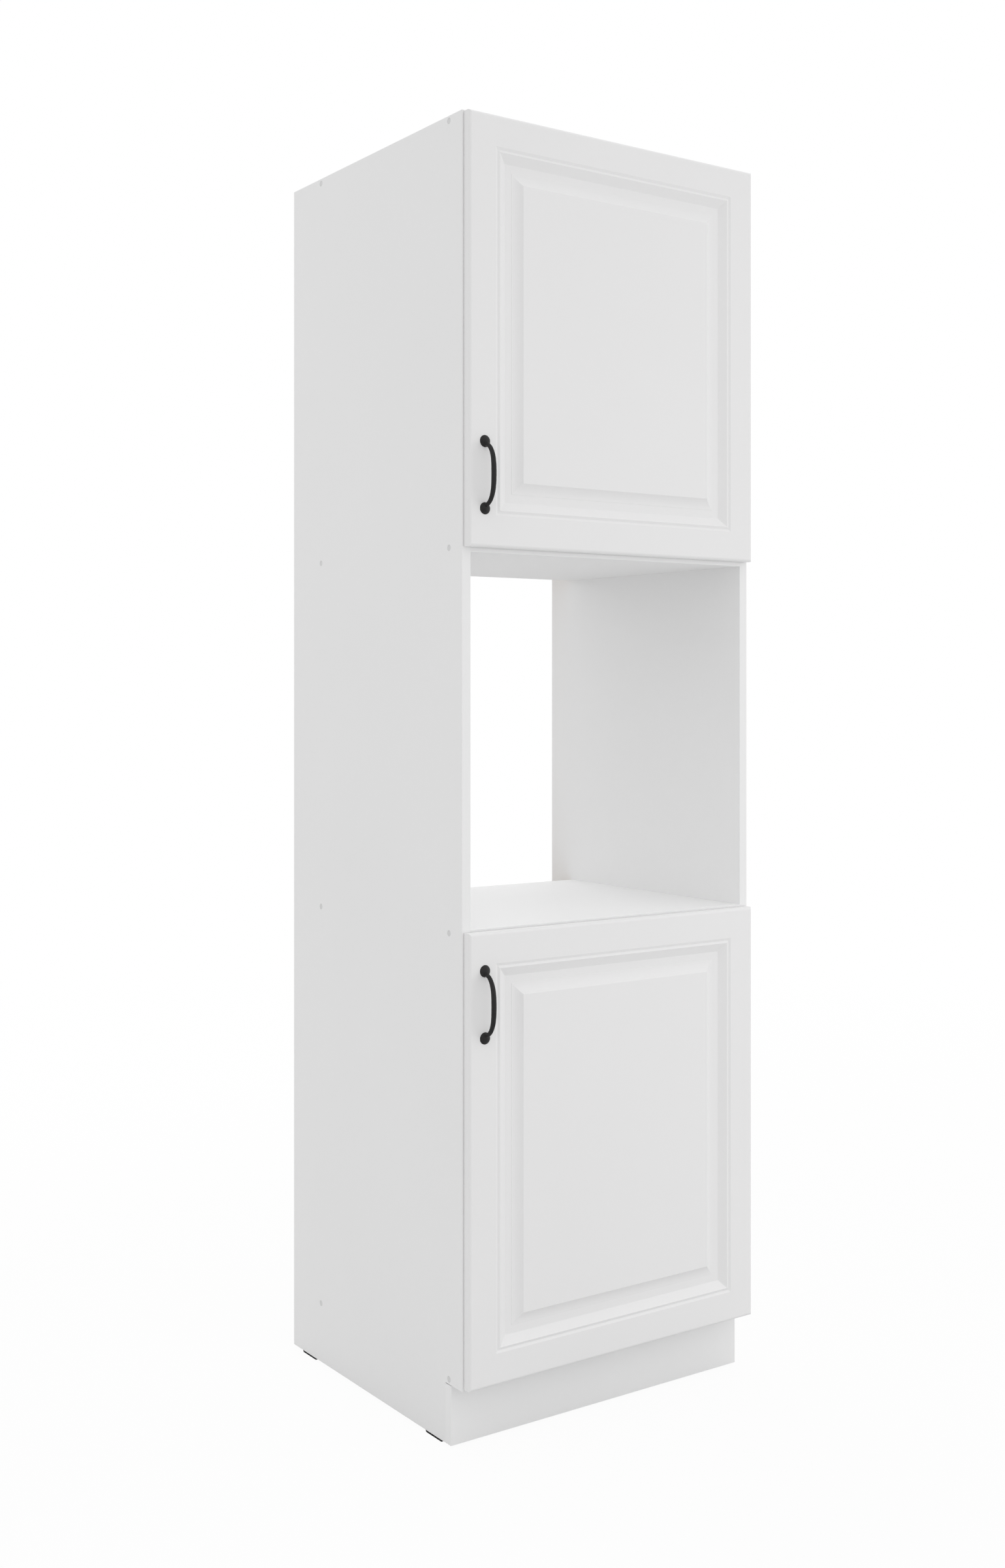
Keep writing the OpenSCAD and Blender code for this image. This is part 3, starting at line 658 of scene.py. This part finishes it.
# the caps' grey holds painted shade besides their own colour
capPlasticPaintedShade = makePlasticMaterial("capPlasticPaintedShade")
blackPlastic = makePlasticMaterial("blackPlastic")
softPad = makePlasticMaterial("softPad")

# the finish of each CAD node, by the longest start of its name
nodeFinish = {
    "side_panel": sideBoard,
    "top_panel": levelBoard,
    "niche_": levelBoard,
    "bottom_panel": levelBoard,
    "shelf_pins": nickelScrew,
    "shelf_": levelBoard,
    "back_board": paintedHardboard,
    "plinth_board": plinthPaintedLight,
    "plinth_cleat": planedSoftwood,
    "plinth_screws": nickelScrew,
    "board_screws": nickelScrew,
    "screw_caps": capPlasticPaintedShade,
    "glide_": blackPlastic,
    "hinge_": nickelSheet,
    "plate_screws": nickelScrew,
    "arm_screws": nickelScrew,
    "cup_screws": nickelScrew,
    "handle_screws": nickelScrew,
    "handle_": blackIron,
    "door_bumpers": softPad,
    "door_": satinFoil,
}


def finishNodes():
    for name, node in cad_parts.items():
        start = max((key for key in nodeFinish if name.startswith(key)), key=len)
        for place in node.material_slots:
            place.material = nodeFinish[start]


finishNodes()
print("materials ready")

# doors: one block each, its face stepped inwards along the moulding's profile
doorShape = {
    "outlineRound": 0.005,
    "outlineSteps": 7,
    "border": 0.050,
    "grooveWide": 0.008,
    "grooveDeep": 0.002,
    "slopeWide": 0.0143,
    "rimDeep": 0.0002,
    "channelWide": 0.0134,
    "channelDeep": 0.0085,
    "lip": 0.0004,  # the small step where the panel's rise starts
    "lipWide": 0.0001,
    "riseWide": 0.018,
    "riseSteps": 10,
    "panelDrop": 0.0007,
    "panelEdge": 0.004,
    "crease": 0.0007,
    "creaseSteps": 3,
    "creaseShare": 0.45,  # a crease takes this much of the stretch beside it at most
    "creaseTurn": 15,
    "backRound": 0.0005,
}
cupBore = {"radius": 0.0175, "deep": 0.0115, "fromEdge": 0.005, "sides": 64}


def outlineArc(radius, steps):
    # the quarter round of the door's outline, from its side to its face
    turns = [math.pi / 2 * i / steps for i in range(steps + 1)]
    return [(radius * (1 - math.cos(turn)), radius * (1 - math.sin(turn))) for turn in turns]


def coveArc(start, run, low, high, steps):
    # from the flat end of a cove, at depth low, up to depth high
    rise = low - high
    radius = (run * run + rise * rise) / (2 * rise)
    most = math.asin(run / radius)
    turns = [most * i / steps for i in range(steps + 1)]
    return [(start + radius * math.sin(turn), low - radius * (1 - math.cos(turn))) for turn in turns]


def easeCorners(points, radius):
    # rounds every corner of a profile, apart from the slight turns within an arc
    steps, share = doorShape["creaseSteps"], doorShape["creaseShare"]
    eased = [points[0]]
    for before, corner, after in zip(points, points[1:], points[2:]):
        before, corner, after = Vector(before), Vector(corner), Vector(after)
        inTo, outOf = corner - before, after - corner
        turn = inTo.angle(outOf)
        if turn < math.radians(doorShape["creaseTurn"]):
            eased.append(tuple(corner))
            continue
        reach = min(radius * math.tan(turn / 2), inTo.length * share, outOf.length * share)
        first = corner - inTo.normalized() * reach
        last = corner + outOf.normalized() * reach
        for i in range(steps + 1):
            along = i / steps
            back = 1 - along
            eased.append(tuple(first * back ** 2 + corner * 2 * along * back + last * along ** 2))
    return eased + [points[-1]]


def doorProfile():
    # (distance from the door's edge, depth below its face), from outside to inside
    shape = doorShape
    groove = shape["border"]
    slope = groove + shape["grooveWide"]
    channel = slope + shape["slopeWide"]
    rise = channel + shape["channelWide"]
    deep = shape["channelDeep"]
    drop = shape["panelDrop"]
    points = outlineArc(shape["outlineRound"], shape["outlineSteps"])
    points += [(groove, 0), (groove + shape["grooveWide"] / 2, shape["grooveDeep"])]
    points += [(slope, shape["rimDeep"]), (channel, deep), (rise - shape["lipWide"], deep)]
    points += coveArc(rise, shape["riseWide"], deep - shape["lip"], drop, shape["riseSteps"])
    points += [(rise + shape["riseWide"] + shape["panelEdge"], drop)]
    return easeCorners(points, shape["crease"])


def runsAslant(edge):
    along = edge.verts[0].co - edge.verts[1].co
    return abs(along.x) > nearly and abs(along.z) > nearly


def modelDoor(name, node, hinges, body):
    low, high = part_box(node)
    profile = doorProfile()
    door = startBlock(name, (low.x, low.y + profile[0][1], low.z), high)
    editMode(door)
    pickFaces(door, lambda face: face.normal.y < -straight)
    for (outer, outerDepth), (inner, innerDepth) in zip(profile, profile[1:]):
        insetStep(inner - outer, outerDepth - innerDepth)
    pickEdges(door, lambda edge: all(end.co.y > high.y - nearly for end in edge.verts))
    bpy.ops.mesh.bevel(offset=doorShape["backRound"], segments=2, affect="EDGES")
    pickEdges(door, runsAslant)  # the mitres stay sharp
    bpy.ops.mesh.mark_sharp()
    bpy.ops.mesh.select_all(action="SELECT")
    bpy.ops.mesh.normals_make_consistent(inside=False)
    boreX = high.x - cupBore["fromEdge"] - cupBore["radius"]
    cutters = []
    for hinge in hinges:
        centre = (boreX, high.y, boxMiddle(hinge).z)
        cutters.append(startDrum(
            "cutter", cupBore["radius"], 2 * cupBore["deep"], centre, lyingBack, cupBore["sides"]
        ))
    cutAway(door, joinPieces(cutters, "cutters"))
    smoothShade(door, angle=28)
    return finishPiece(door, satinFoil, "white_front", body, node)


modelDoor("foil_door_upper", "door_upper", ("hinge_cup_3", "hinge_cup_4"), "upper_door")
modelDoor("foil_door_lower", "door_lower", ("hinge_cup_1", "hinge_cup_2"), "lower_door")
print("doors ready")

# handles: rings along the bow, joined to two domed feet
handleShape = {
    "pitch": 0.105,
    "midRadius": 0.0042,
    "endRadius": 0.0033,
    "endIn": 0.005,  # the bow starts this far inward of the feet's middles
    "seat": 0.0015,  # the bow's ends stand this far in front of the door
    "footRadius": 0.0098,
    "footHigh": 0.0055,
    "upPower": 0.72,  # below 1 the bow's shoulders are fuller than an ellipse
    "rings": 48,
    "ringSides": 24,
    "footSides": 64,
    "footRings": 48,
    "skin": 0.00045,
    "soften": 0.5,
    "softenings": 3,
    "dents": 0.00022,
    "dentSize": 0.0045,
    "dentLevel": 0.55,  # above 0.5 the dents go in more than out
}


def bowPoint(angle, reach):
    half = handleShape["pitch"] / 2 - handleShape["endIn"]
    up = -half * math.copysign(abs(math.cos(angle)) ** handleShape["upPower"], math.cos(angle))
    return Vector((0, -reach * math.sin(angle), up))


def bowRadius(z):
    thin, thick = handleShape["endRadius"], handleShape["midRadius"]
    share = min(1, abs(z) / (handleShape["pitch"] / 2 - handleShape["endIn"]))
    return thin + (thick - thin) * math.cos(math.pi / 2 * share)


def modelBow(reach):
    # the rings stand closest near the feet, where the bow bends most
    count = handleShape["rings"]
    angles = [math.pi * (0.5 - 0.5 * math.cos(math.pi * i / count)) for i in range(count + 1)]
    line = [bowPoint(angle, reach) for angle in angles]
    objectMode()
    for i, point in enumerate(line):
        ahead = line[min(i + 1, count)] - line[max(i - 1, 0)]
        if i in (0, count):
            ahead = Vector((0, -1 if i == 0 else 1, 0))
        tilt = math.atan2(-ahead.y, ahead.z)
        bpy.ops.mesh.primitive_circle_add(
            vertices=handleShape["ringSides"], radius=bowRadius(point.z),
            location=point, rotation=(tilt, 0, 0),
        )
        if i == 0:
            bpy.ops.object.mode_set(mode="EDIT")
    bpy.ops.mesh.select_all(action="SELECT")
    bpy.ops.mesh.bridge_edge_loops()
    bpy.ops.mesh.select_all(action="DESELECT")
    bpy.ops.mesh.select_mode(type="EDGE")
    bpy.ops.mesh.select_non_manifold()
    bpy.ops.mesh.edge_face_add()
    bpy.ops.mesh.select_all(action="SELECT")
    bpy.ops.mesh.normals_make_consistent(inside=False)
    bpy.ops.object.mode_set(mode="OBJECT")
    return freshPiece("bow")


def modelFoot(z):
    # a ball, of which only the cap above the door stays
    high = handleShape["footHigh"]
    ball = (handleShape["footRadius"] ** 2 + high ** 2) / (2 * high)
    objectMode()
    bpy.ops.mesh.primitive_uv_sphere_add(
        segments=handleShape["footSides"], ring_count=handleShape["footRings"], radius=ball,
        location=(0, ball - high, z), rotation=lyingBack,
    )
    foot = freshPiece("foot")
    editMode(foot)
    bpy.ops.mesh.select_all(action="SELECT")
    bpy.ops.mesh.bisect(plane_co=(0, 0, 0), plane_no=(0, 1, 0), use_fill=True, clear_outer=True)
    return foot


def modelHandle(reach):
    shape = handleShape
    handle = modelBow(reach - shape["midRadius"] - shape["seat"])
    handle.data.transform(Matrix.Translation((0, -shape["seat"], 0)))
    for side in (-1, 1):
        foot = modelFoot(side * shape["pitch"] / 2)
        useModifier(handle, "BOOLEAN", operation="UNION", object=foot, solver="EXACT")
        bpy.data.objects.remove(foot)
    # one cast body: even skin, softened where bow and feet meet, then hammered
    useModifier(handle, "REMESH", mode="VOXEL", voxel_size=shape["skin"])
    useModifier(handle, "SMOOTH", factor=shape["soften"], iterations=shape["softenings"])
    dents = bpy.data.textures.new("dents", "CLOUDS")
    dents.noise_scale = shape["dentSize"]
    dents.noise_depth = 2
    useModifier(
        handle, "DISPLACE", texture=dents, texture_coords="LOCAL",
        strength=shape["dents"], mid_level=shape["dentLevel"],
    )
    return handle


def placeHandles():
    low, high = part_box("handle_upper")
    handle = modelHandle(high.y - low.y)
    takePiece(handle)
    bpy.ops.object.shade_smooth()
    for which in ("upper", "lower"):
        low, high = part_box("handle_" + which)
        middle = boxMiddle("handle_" + which)
        twin = copyPiece(handle, "iron_handle_" + which, (middle.x, high.y, middle.z))
        finishPiece(twin, blackIron, "black_iron", which + "_door", "handle_" + which)
    bpy.data.objects.remove(handle)


placeHandles()
print("handles ready")

# edge bands on the front edges of the boards
bandShape = {
    "proud": 0.0004,
    "proudHandleSide": 0.0013,  # no hinge needs the room there
    "sunk": 0.0004,
    "round": 0.00012,
    "inset": 0.00005,
    "overPlinth": 0.0016,
}
bandedBoards = {
    "side_panel_left": "edge_band_left",
    "side_panel_right": "edge_band_right",
    "top_panel": "edge_band_top",
    "niche_ceiling": "edge_band_ceiling",
    "niche_floor": "edge_band_niche_floor",
    "bottom_panel": "edge_band_bottom",
    "shelf_upper": "edge_band_shelf_upper",
    "shelf_lower": "edge_band_shelf_lower",
}


def modelBand(node, name):
    low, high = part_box(node)
    gap = bandShape["inset"]
    proud = bandShape["proudHandleSide" if node == "side_panel_left" else "proud"]
    if node.startswith("side_panel"):
        low.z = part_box("plinth_board")[1].z + bandShape["overPlinth"]
        low.x, high.x = low.x + gap, high.x - gap
    else:
        low.z, high.z = low.z + gap, high.z - gap
    band = startBlock(name, (low.x, low.y - proud, low.z), (high.x, low.y + bandShape["sunk"], high.z))
    editMode(band, "EDGE")
    front = low.y - proud + nearly
    pickEdges(band, lambda edge: all(end.co.y < front for end in edge.verts))
    bpy.ops.mesh.bevel(offset=bandShape["round"], segments=2, affect="EDGES")
    smoothShade(band, angle=40)
    return finishPiece(band, edgeBand, "white_board", "carcass")


for node, name in bandedBoards.items():
    modelBand(node, name)
print("edge bands ready")

# caps over the carcass screws
capShape = {
    "radius": 0.0047,
    "thick": 0.0009,
    "rimRound": 0.0003,
    "rim": 0.0009,
    "dishSlope": 0.0004,
    "dish": 0.00015,
    "dishFlat": 0.0011,
    "knobSlope": 0.0005,
    "knob": 0.00008,
    "solidRadius": 0.0048,  # of the solid caps that these stand for
}


def modelCap():
    # faces along +Z, its top at the height of the board's face
    shape = capShape
    cap = startDrum("cap", shape["radius"], shape["thick"], (0, 0, -shape["thick"] / 2), sides=40)
    editMode(cap, "EDGE")
    pickEdges(cap, lambda edge: all(end.co.z > -nearly for end in edge.verts))
    bpy.ops.mesh.bevel(offset=shape["rimRound"], segments=3, affect="EDGES")
    bpy.ops.mesh.select_mode(type="FACE")
    pickFaces(
        cap, lambda face: face.normal.z > straight and face.calc_center_median().length < shape["rim"]
    )
    insetStep(shape["rim"], 0)
    insetStep(shape["dishSlope"], -shape["dish"])
    insetStep(shape["dishFlat"], 0)
    insetStep(shape["knobSlope"], shape["knob"])
    smoothShade(cap)
    return cap


def placeCaps():
    cap = modelCap()
    boards = ("top_panel", "niche_ceiling", "niche_floor", "bottom_panel")
    for side, name in ((-1, "left"), (1, "right")):
        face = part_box("side_panel_" + name)[0 if side < 0 else 1].x
        low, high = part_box("screw_caps_" + name)
        rows = (low.y + capShape["solidRadius"], high.y - capShape["solidRadius"])
        turn = Matrix.Rotation(side * math.pi / 2, 4, "Y")
        caps = [
            copyPiece(cap, "cap", (face, y, boxMiddle(board).z), turn)
            for board in boards for y in rows
        ]
        caps = joinPieces(caps, "board_caps_" + name)
        finishPiece(caps, capPlasticPaintedShade, "grey_cap", "carcass", "screw_caps_" + name)
    bpy.data.objects.remove(cap)


placeCaps()
print("caps ready")

# screws with a cross in their heads; head and shank are radii
screwShapes = {
    "plate": {"head": 0.0035, "high": 0.002, "shank": 0.0025, "long": 0.010},
    "arm": {"head": 0.0034, "high": 0.0016, "shank": 0.002, "long": 0.007},
    "cup": {"head": 0.0032, "high": 0.0006, "shank": 0.0016, "long": 0.012},
    "handle": {"head": 0.004, "high": 0.0022, "shank": 0.002, "long": 0.0195},
    "plinth": {"head": 0.0036, "high": 0.002, "shank": 0.0018, "long": 0.038},
}

# shares of a head's radius and height, and of a shank's radius
screwForm = {
    "dome": 0.55,
    "bladeReach": 0.55,
    "bladeThin": 0.11,
    "bladeFoot": 0.35,
    "bladeTop": 1.5,
    "tipIn": 0.5,
    "tipOut": 0.6,
}
screwTurn = {"first": 0.3, "each": 0.7}  # no two crosses of a row stand alike


def modelScrew(kind):
    # the head sits on z = 0 and faces up, the shank points down
    size, form = screwShapes[kind], screwForm
    head = startDrum("head", size["head"], size["high"], (0, 0, size["high"] / 2), sides=32)
    editMode(head, "EDGE")
    pickEdges(head, lambda edge: all(end.co.z > size["high"] - nearly for end in edge.verts))
    bpy.ops.mesh.bevel(offset=size["high"] * form["dome"], segments=4, affect="EDGES")
    reach, thin = size["head"] * form["bladeReach"], size["head"] * form["bladeThin"]
    foot, top = size["high"] * form["bladeFoot"], size["high"] * form["bladeTop"]
    for turn in (0, math.pi / 2):
        blade = startBlock("blade", (-reach, -thin, foot), (reach, thin, top))
        blade.data.transform(Matrix.Rotation(turn, 4, "Z"))
        cutAway(head, blade)
    shank = startDrum("shank", size["shank"], size["long"], (0, 0, -size["long"] / 2), sides=20)
    editMode(shank)
    pickFaces(shank, lambda face: face.normal.z < -straight)
    insetStep(size["shank"] * form["tipIn"], size["shank"] * form["tipOut"])
    screw = joinPieces([head, shank], "screw")
    smoothShade(screw, angle=35, weighted=False)
    return screw


def placeScrews(kind, which, body, facing, spots):
    node = kind + "_screws" + which
    screw = modelScrew(kind)
    turn = Vector(facing).to_track_quat("Z", "Y").to_matrix().to_4x4()
    screws = []
    for i, spot in enumerate(spots):
        tilt = Matrix.Rotation(screwTurn["each"] * i + screwTurn["first"], 4, "Z")
        screws.append(copyPiece(screw, "screw", spot, turn @ tilt))
    bpy.data.objects.remove(screw)
    screws = joinPieces(screws, "cross_screws_" + kind + which)
    finishPiece(screws, nickelScrew, "nickel_steel", body, node)


hingeNumbers = {"lower": (1, 2), "upper": (3, 4)}
hingeScrews = {"plateStep": 0.016, "cupStep": 0.0225}  # from the hinge's middle to its screws


def placeHingeScrews(which):
    screwed = {part: "%s_screws_%s" % (part, which) for part in ("plate", "arm", "cup")}
    plates = [boxMiddle("hinge_plate_%d" % number).z for number in hingeNumbers[which]]
    cups = [boxMiddle("hinge_cup_%d" % number).z for number in hingeNumbers[which]]

    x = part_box(screwed["plate"])[0].x + screwShapes["plate"]["high"]
    y = boxMiddle(screwed["plate"]).y
    step = hingeScrews["plateStep"]
    spots = [(x, y, z + up) for z in plates for up in (-step, step)]
    placeScrews("plate", "_" + which, "carcass", (-1, 0, 0), spots)

    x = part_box(screwed["arm"])[0].x + screwShapes["arm"]["high"]
    y = boxMiddle(screwed["arm"]).y
    placeScrews("arm", "_" + which, "carcass", (-1, 0, 0), [(x, y, z) for z in plates])

    x = boxMiddle(screwed["cup"]).x
    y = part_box(screwed["cup"])[1].y - screwShapes["cup"]["high"]
    step = hingeScrews["cupStep"]
    spots = [(x, y, z + up) for z in cups for up in (-step, step)]
    placeScrews("cup", "_" + which, which + "_door", (0, 1, 0), spots)


def placeHandleScrews(which):
    low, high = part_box("handle_screws_" + which)
    x, y = (low.x + high.x) / 2, high.y - screwShapes["handle"]["high"]
    head = screwShapes["handle"]["head"]
    spots = [(x, y, z) for z in (low.z + head, high.z - head)]
    placeScrews("handle", "_" + which, which + "_door", (0, 1, 0), spots)


def placePlinthScrews():
    low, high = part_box("plinth_screws")
    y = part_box("plinth_cleat_right")[1].y
    head = screwShapes["plinth"]["head"]
    spots = [
        (side * (high.x - head), y, z)
        for side in (-1, 1) for z in (low.z + head, high.z - head)
    ]
    placeScrews("plinth", "", "carcass", (0, 1, 0), spots)


for which in ("lower", "upper"):
    placeHingeScrews(which)
    placeHandleScrews(which)
placePlinthScrews()
print("screws ready")

# glides: a slanted pad with grooves in its long sides
glideShape = {
    "round": 0.0009,
    "slant": 0.003,
    "grooves": 5,
    "grooveDeep": 0.0008,
    "grooveWide": 0.0035,
    "grooveFoot": 0.0012,
    "grooveHead": 0.0006,
    "past": 0.001,  # how far a cutter runs past the face that it cuts
}


def glideCutters(low, high, top):
    # the grooves stand in even steps, with a plain stretch before and behind them
    shape = glideShape
    long = high.y - low.y
    foot, head = low.z + shape["grooveFoot"], top - shape["grooveHead"]
    cutters = []
    for i in range(shape["grooves"]):
        front = low.y + long * (i + 1.5) / (shape["grooves"] + 2)
        rear = front + shape["grooveWide"]
        for outer, inner in (
            (low.x - shape["past"], low.x + shape["grooveDeep"]),
            (high.x - shape["grooveDeep"], high.x + shape["past"]),
        ):
            cutters.append(startBlock("cutter", (outer, front, foot), (inner, rear, head)))
    return joinPieces(cutters, "cutters")


def modelGlide(node, name):
    low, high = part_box(node)
    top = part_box("side_panel_left")[0].z
    pad = startBlock(name, low, (high.x, high.y, top))
    editMode(pad, "EDGE")
    pickFaces(pad, lambda face: face.normal.z < -straight)
    shorter = 1 - 2 * glideShape["slant"] / (high.y - low.y)
    bpy.ops.transform.resize(value=(1, shorter, 1), center_override=boxMiddle(node))
    pickEdges(pad, lambda edge: not all(end.co.z > top - nearly for end in edge.verts))
    bpy.ops.mesh.bevel(offset=glideShape["round"], segments=3, affect="EDGES")
    cutAway(pad, glideCutters(low, high, top))
    smoothShade(pad, angle=35)
    return finishPiece(pad, blackPlastic, "black_plastic", "carcass", node)


for place in ("front_left", "front_right", "rear_left", "rear_right"):
    modelGlide("glide_" + place, "ribbed_glide_" + place)
print("glides ready")

# floor, light and world
studio = {
    "floorSide": 60.0,
    "floorColour": (0.66, 0.66, 0.66, 1),
    "whiteNear": 0.955,  # how much of the floor's own look gives way to white near the unit
    "whiteFar": 1.0,
    "fade": (1.2, 4.5),
    "skyLevel": 0.77,
    "zenithLevel": 1.06,
}
plainWhite = (1, 1, 1, 1)
lamps = {
    "rightMiddle": {"place": (4.2, -2.6, 1.7), "aim": (0, -0.25, 1.1), "side": 2.5, "power": 8.0},
    "rightLow": {"place": (2.8, -3.2, 0.7), "aim": (0, -0.25, 0.6), "side": 2.5, "power": 20.5},
    "backHigh": {"place": (0.3, 3.6, 2.4), "aim": (0, 0, 1.1), "side": 2.5, "power": 48.0},
}


def makeFloor():
    objectMode()
    bpy.ops.mesh.primitive_grid_add(x_subdivisions=2, y_subdivisions=2, size=studio["floorSide"])
    floor = freshPiece("floor")
    material = bpy.data.materials.new("studioFloor")
    material.use_nodes = True
    tree = material.node_tree
    shader = next(node for node in tree.nodes if node.type == "BSDF_PRINCIPLED")
    shader.inputs["Base Color"].default_value = studio["floorColour"]
    shader.inputs["Roughness"].default_value = 1.0
    shader.inputs["Specular IOR Level"].default_value = 0.0
    plain = addNode(tree, "ShaderNodeEmission", {"Color": plainWhite, "Strength": 1.0})
    rays = addNode(tree, "ShaderNodeLightPath")
    # the floor keeps the unit's shadow near it and runs out into plain white
    place = addNode(tree, "ShaderNodeTexCoord")
    away = addNode(tree, "ShaderNodeVectorMath", {0: place.outputs["Object"]}, operation="LENGTH")
    near, far = studio["fade"]
    level = spread(tree, away.outputs["Value"], near, far, studio["whiteNear"], studio["whiteFar"])
    share = doMath(tree, "MULTIPLY", rays.outputs["Is Camera Ray"], level)
    mix = addNode(tree, "ShaderNodeMixShader", {0: share, 1: shader.outputs[0], 2: plain.outputs[0]})
    output = next(node for node in tree.nodes if node.type == "OUTPUT_MATERIAL")
    tree.links.new(mix.outputs[0], output.inputs["Surface"])
    floor.data.materials.append(material)


def makeWorld():
    world = bpy.data.worlds.new("studioWorld")
    bpy.context.scene.world = world
    world.use_nodes = True
    tree = world.node_tree
    tree.nodes.clear()
    place = addNode(tree, "ShaderNodeTexCoord")
    upward = addNode(tree, "ShaderNodeSeparateXYZ", {0: place.outputs["Generated"]}).outputs["Z"]
    level = spread(tree, upward, toLow=studio["skyLevel"], toHigh=studio["zenithLevel"])
    sky = addNode(tree, "ShaderNodeBackground", {"Color": plainWhite, "Strength": level})
    plain = addNode(tree, "ShaderNodeBackground", {"Color": plainWhite, "Strength": 1.0})
    rays = addNode(tree, "ShaderNodeLightPath")
    seen = doMath(tree, "ADD", rays.outputs["Is Camera Ray"], rays.outputs["Is Glossy Ray"])
    seen = doMath(tree, "ADD", seen, rays.outputs["Is Transmission Ray"], clamp=True)
    mix = addNode(tree, "ShaderNodeMixShader", {0: seen, 1: sky.outputs[0], 2: plain.outputs[0]})
    output = addNode(tree, "ShaderNodeOutputWorld")
    tree.links.new(mix.outputs[0], output.inputs["Surface"])


def makeLamp(name, setup):
    lamp = bpy.data.lights.new(name, "AREA")
    lamp.shape = "SQUARE"
    lamp.size = setup["side"]
    lamp.energy = setup["power"]
    light = bpy.data.objects.new(name, lamp)
    bpy.context.scene.collection.objects.link(light)
    light.location = setup["place"]
    aim = Vector(setup["aim"]) - Vector(setup["place"])
    light.rotation_euler = aim.to_track_quat("-Z", "Y").to_euler()
    light.visible_camera = False


makeFloor()
makeWorld()
for name, setup in lamps.items():
    makeLamp(name, setup)
bpy.context.scene.view_settings.view_transform = "Standard"
print("studio ready")
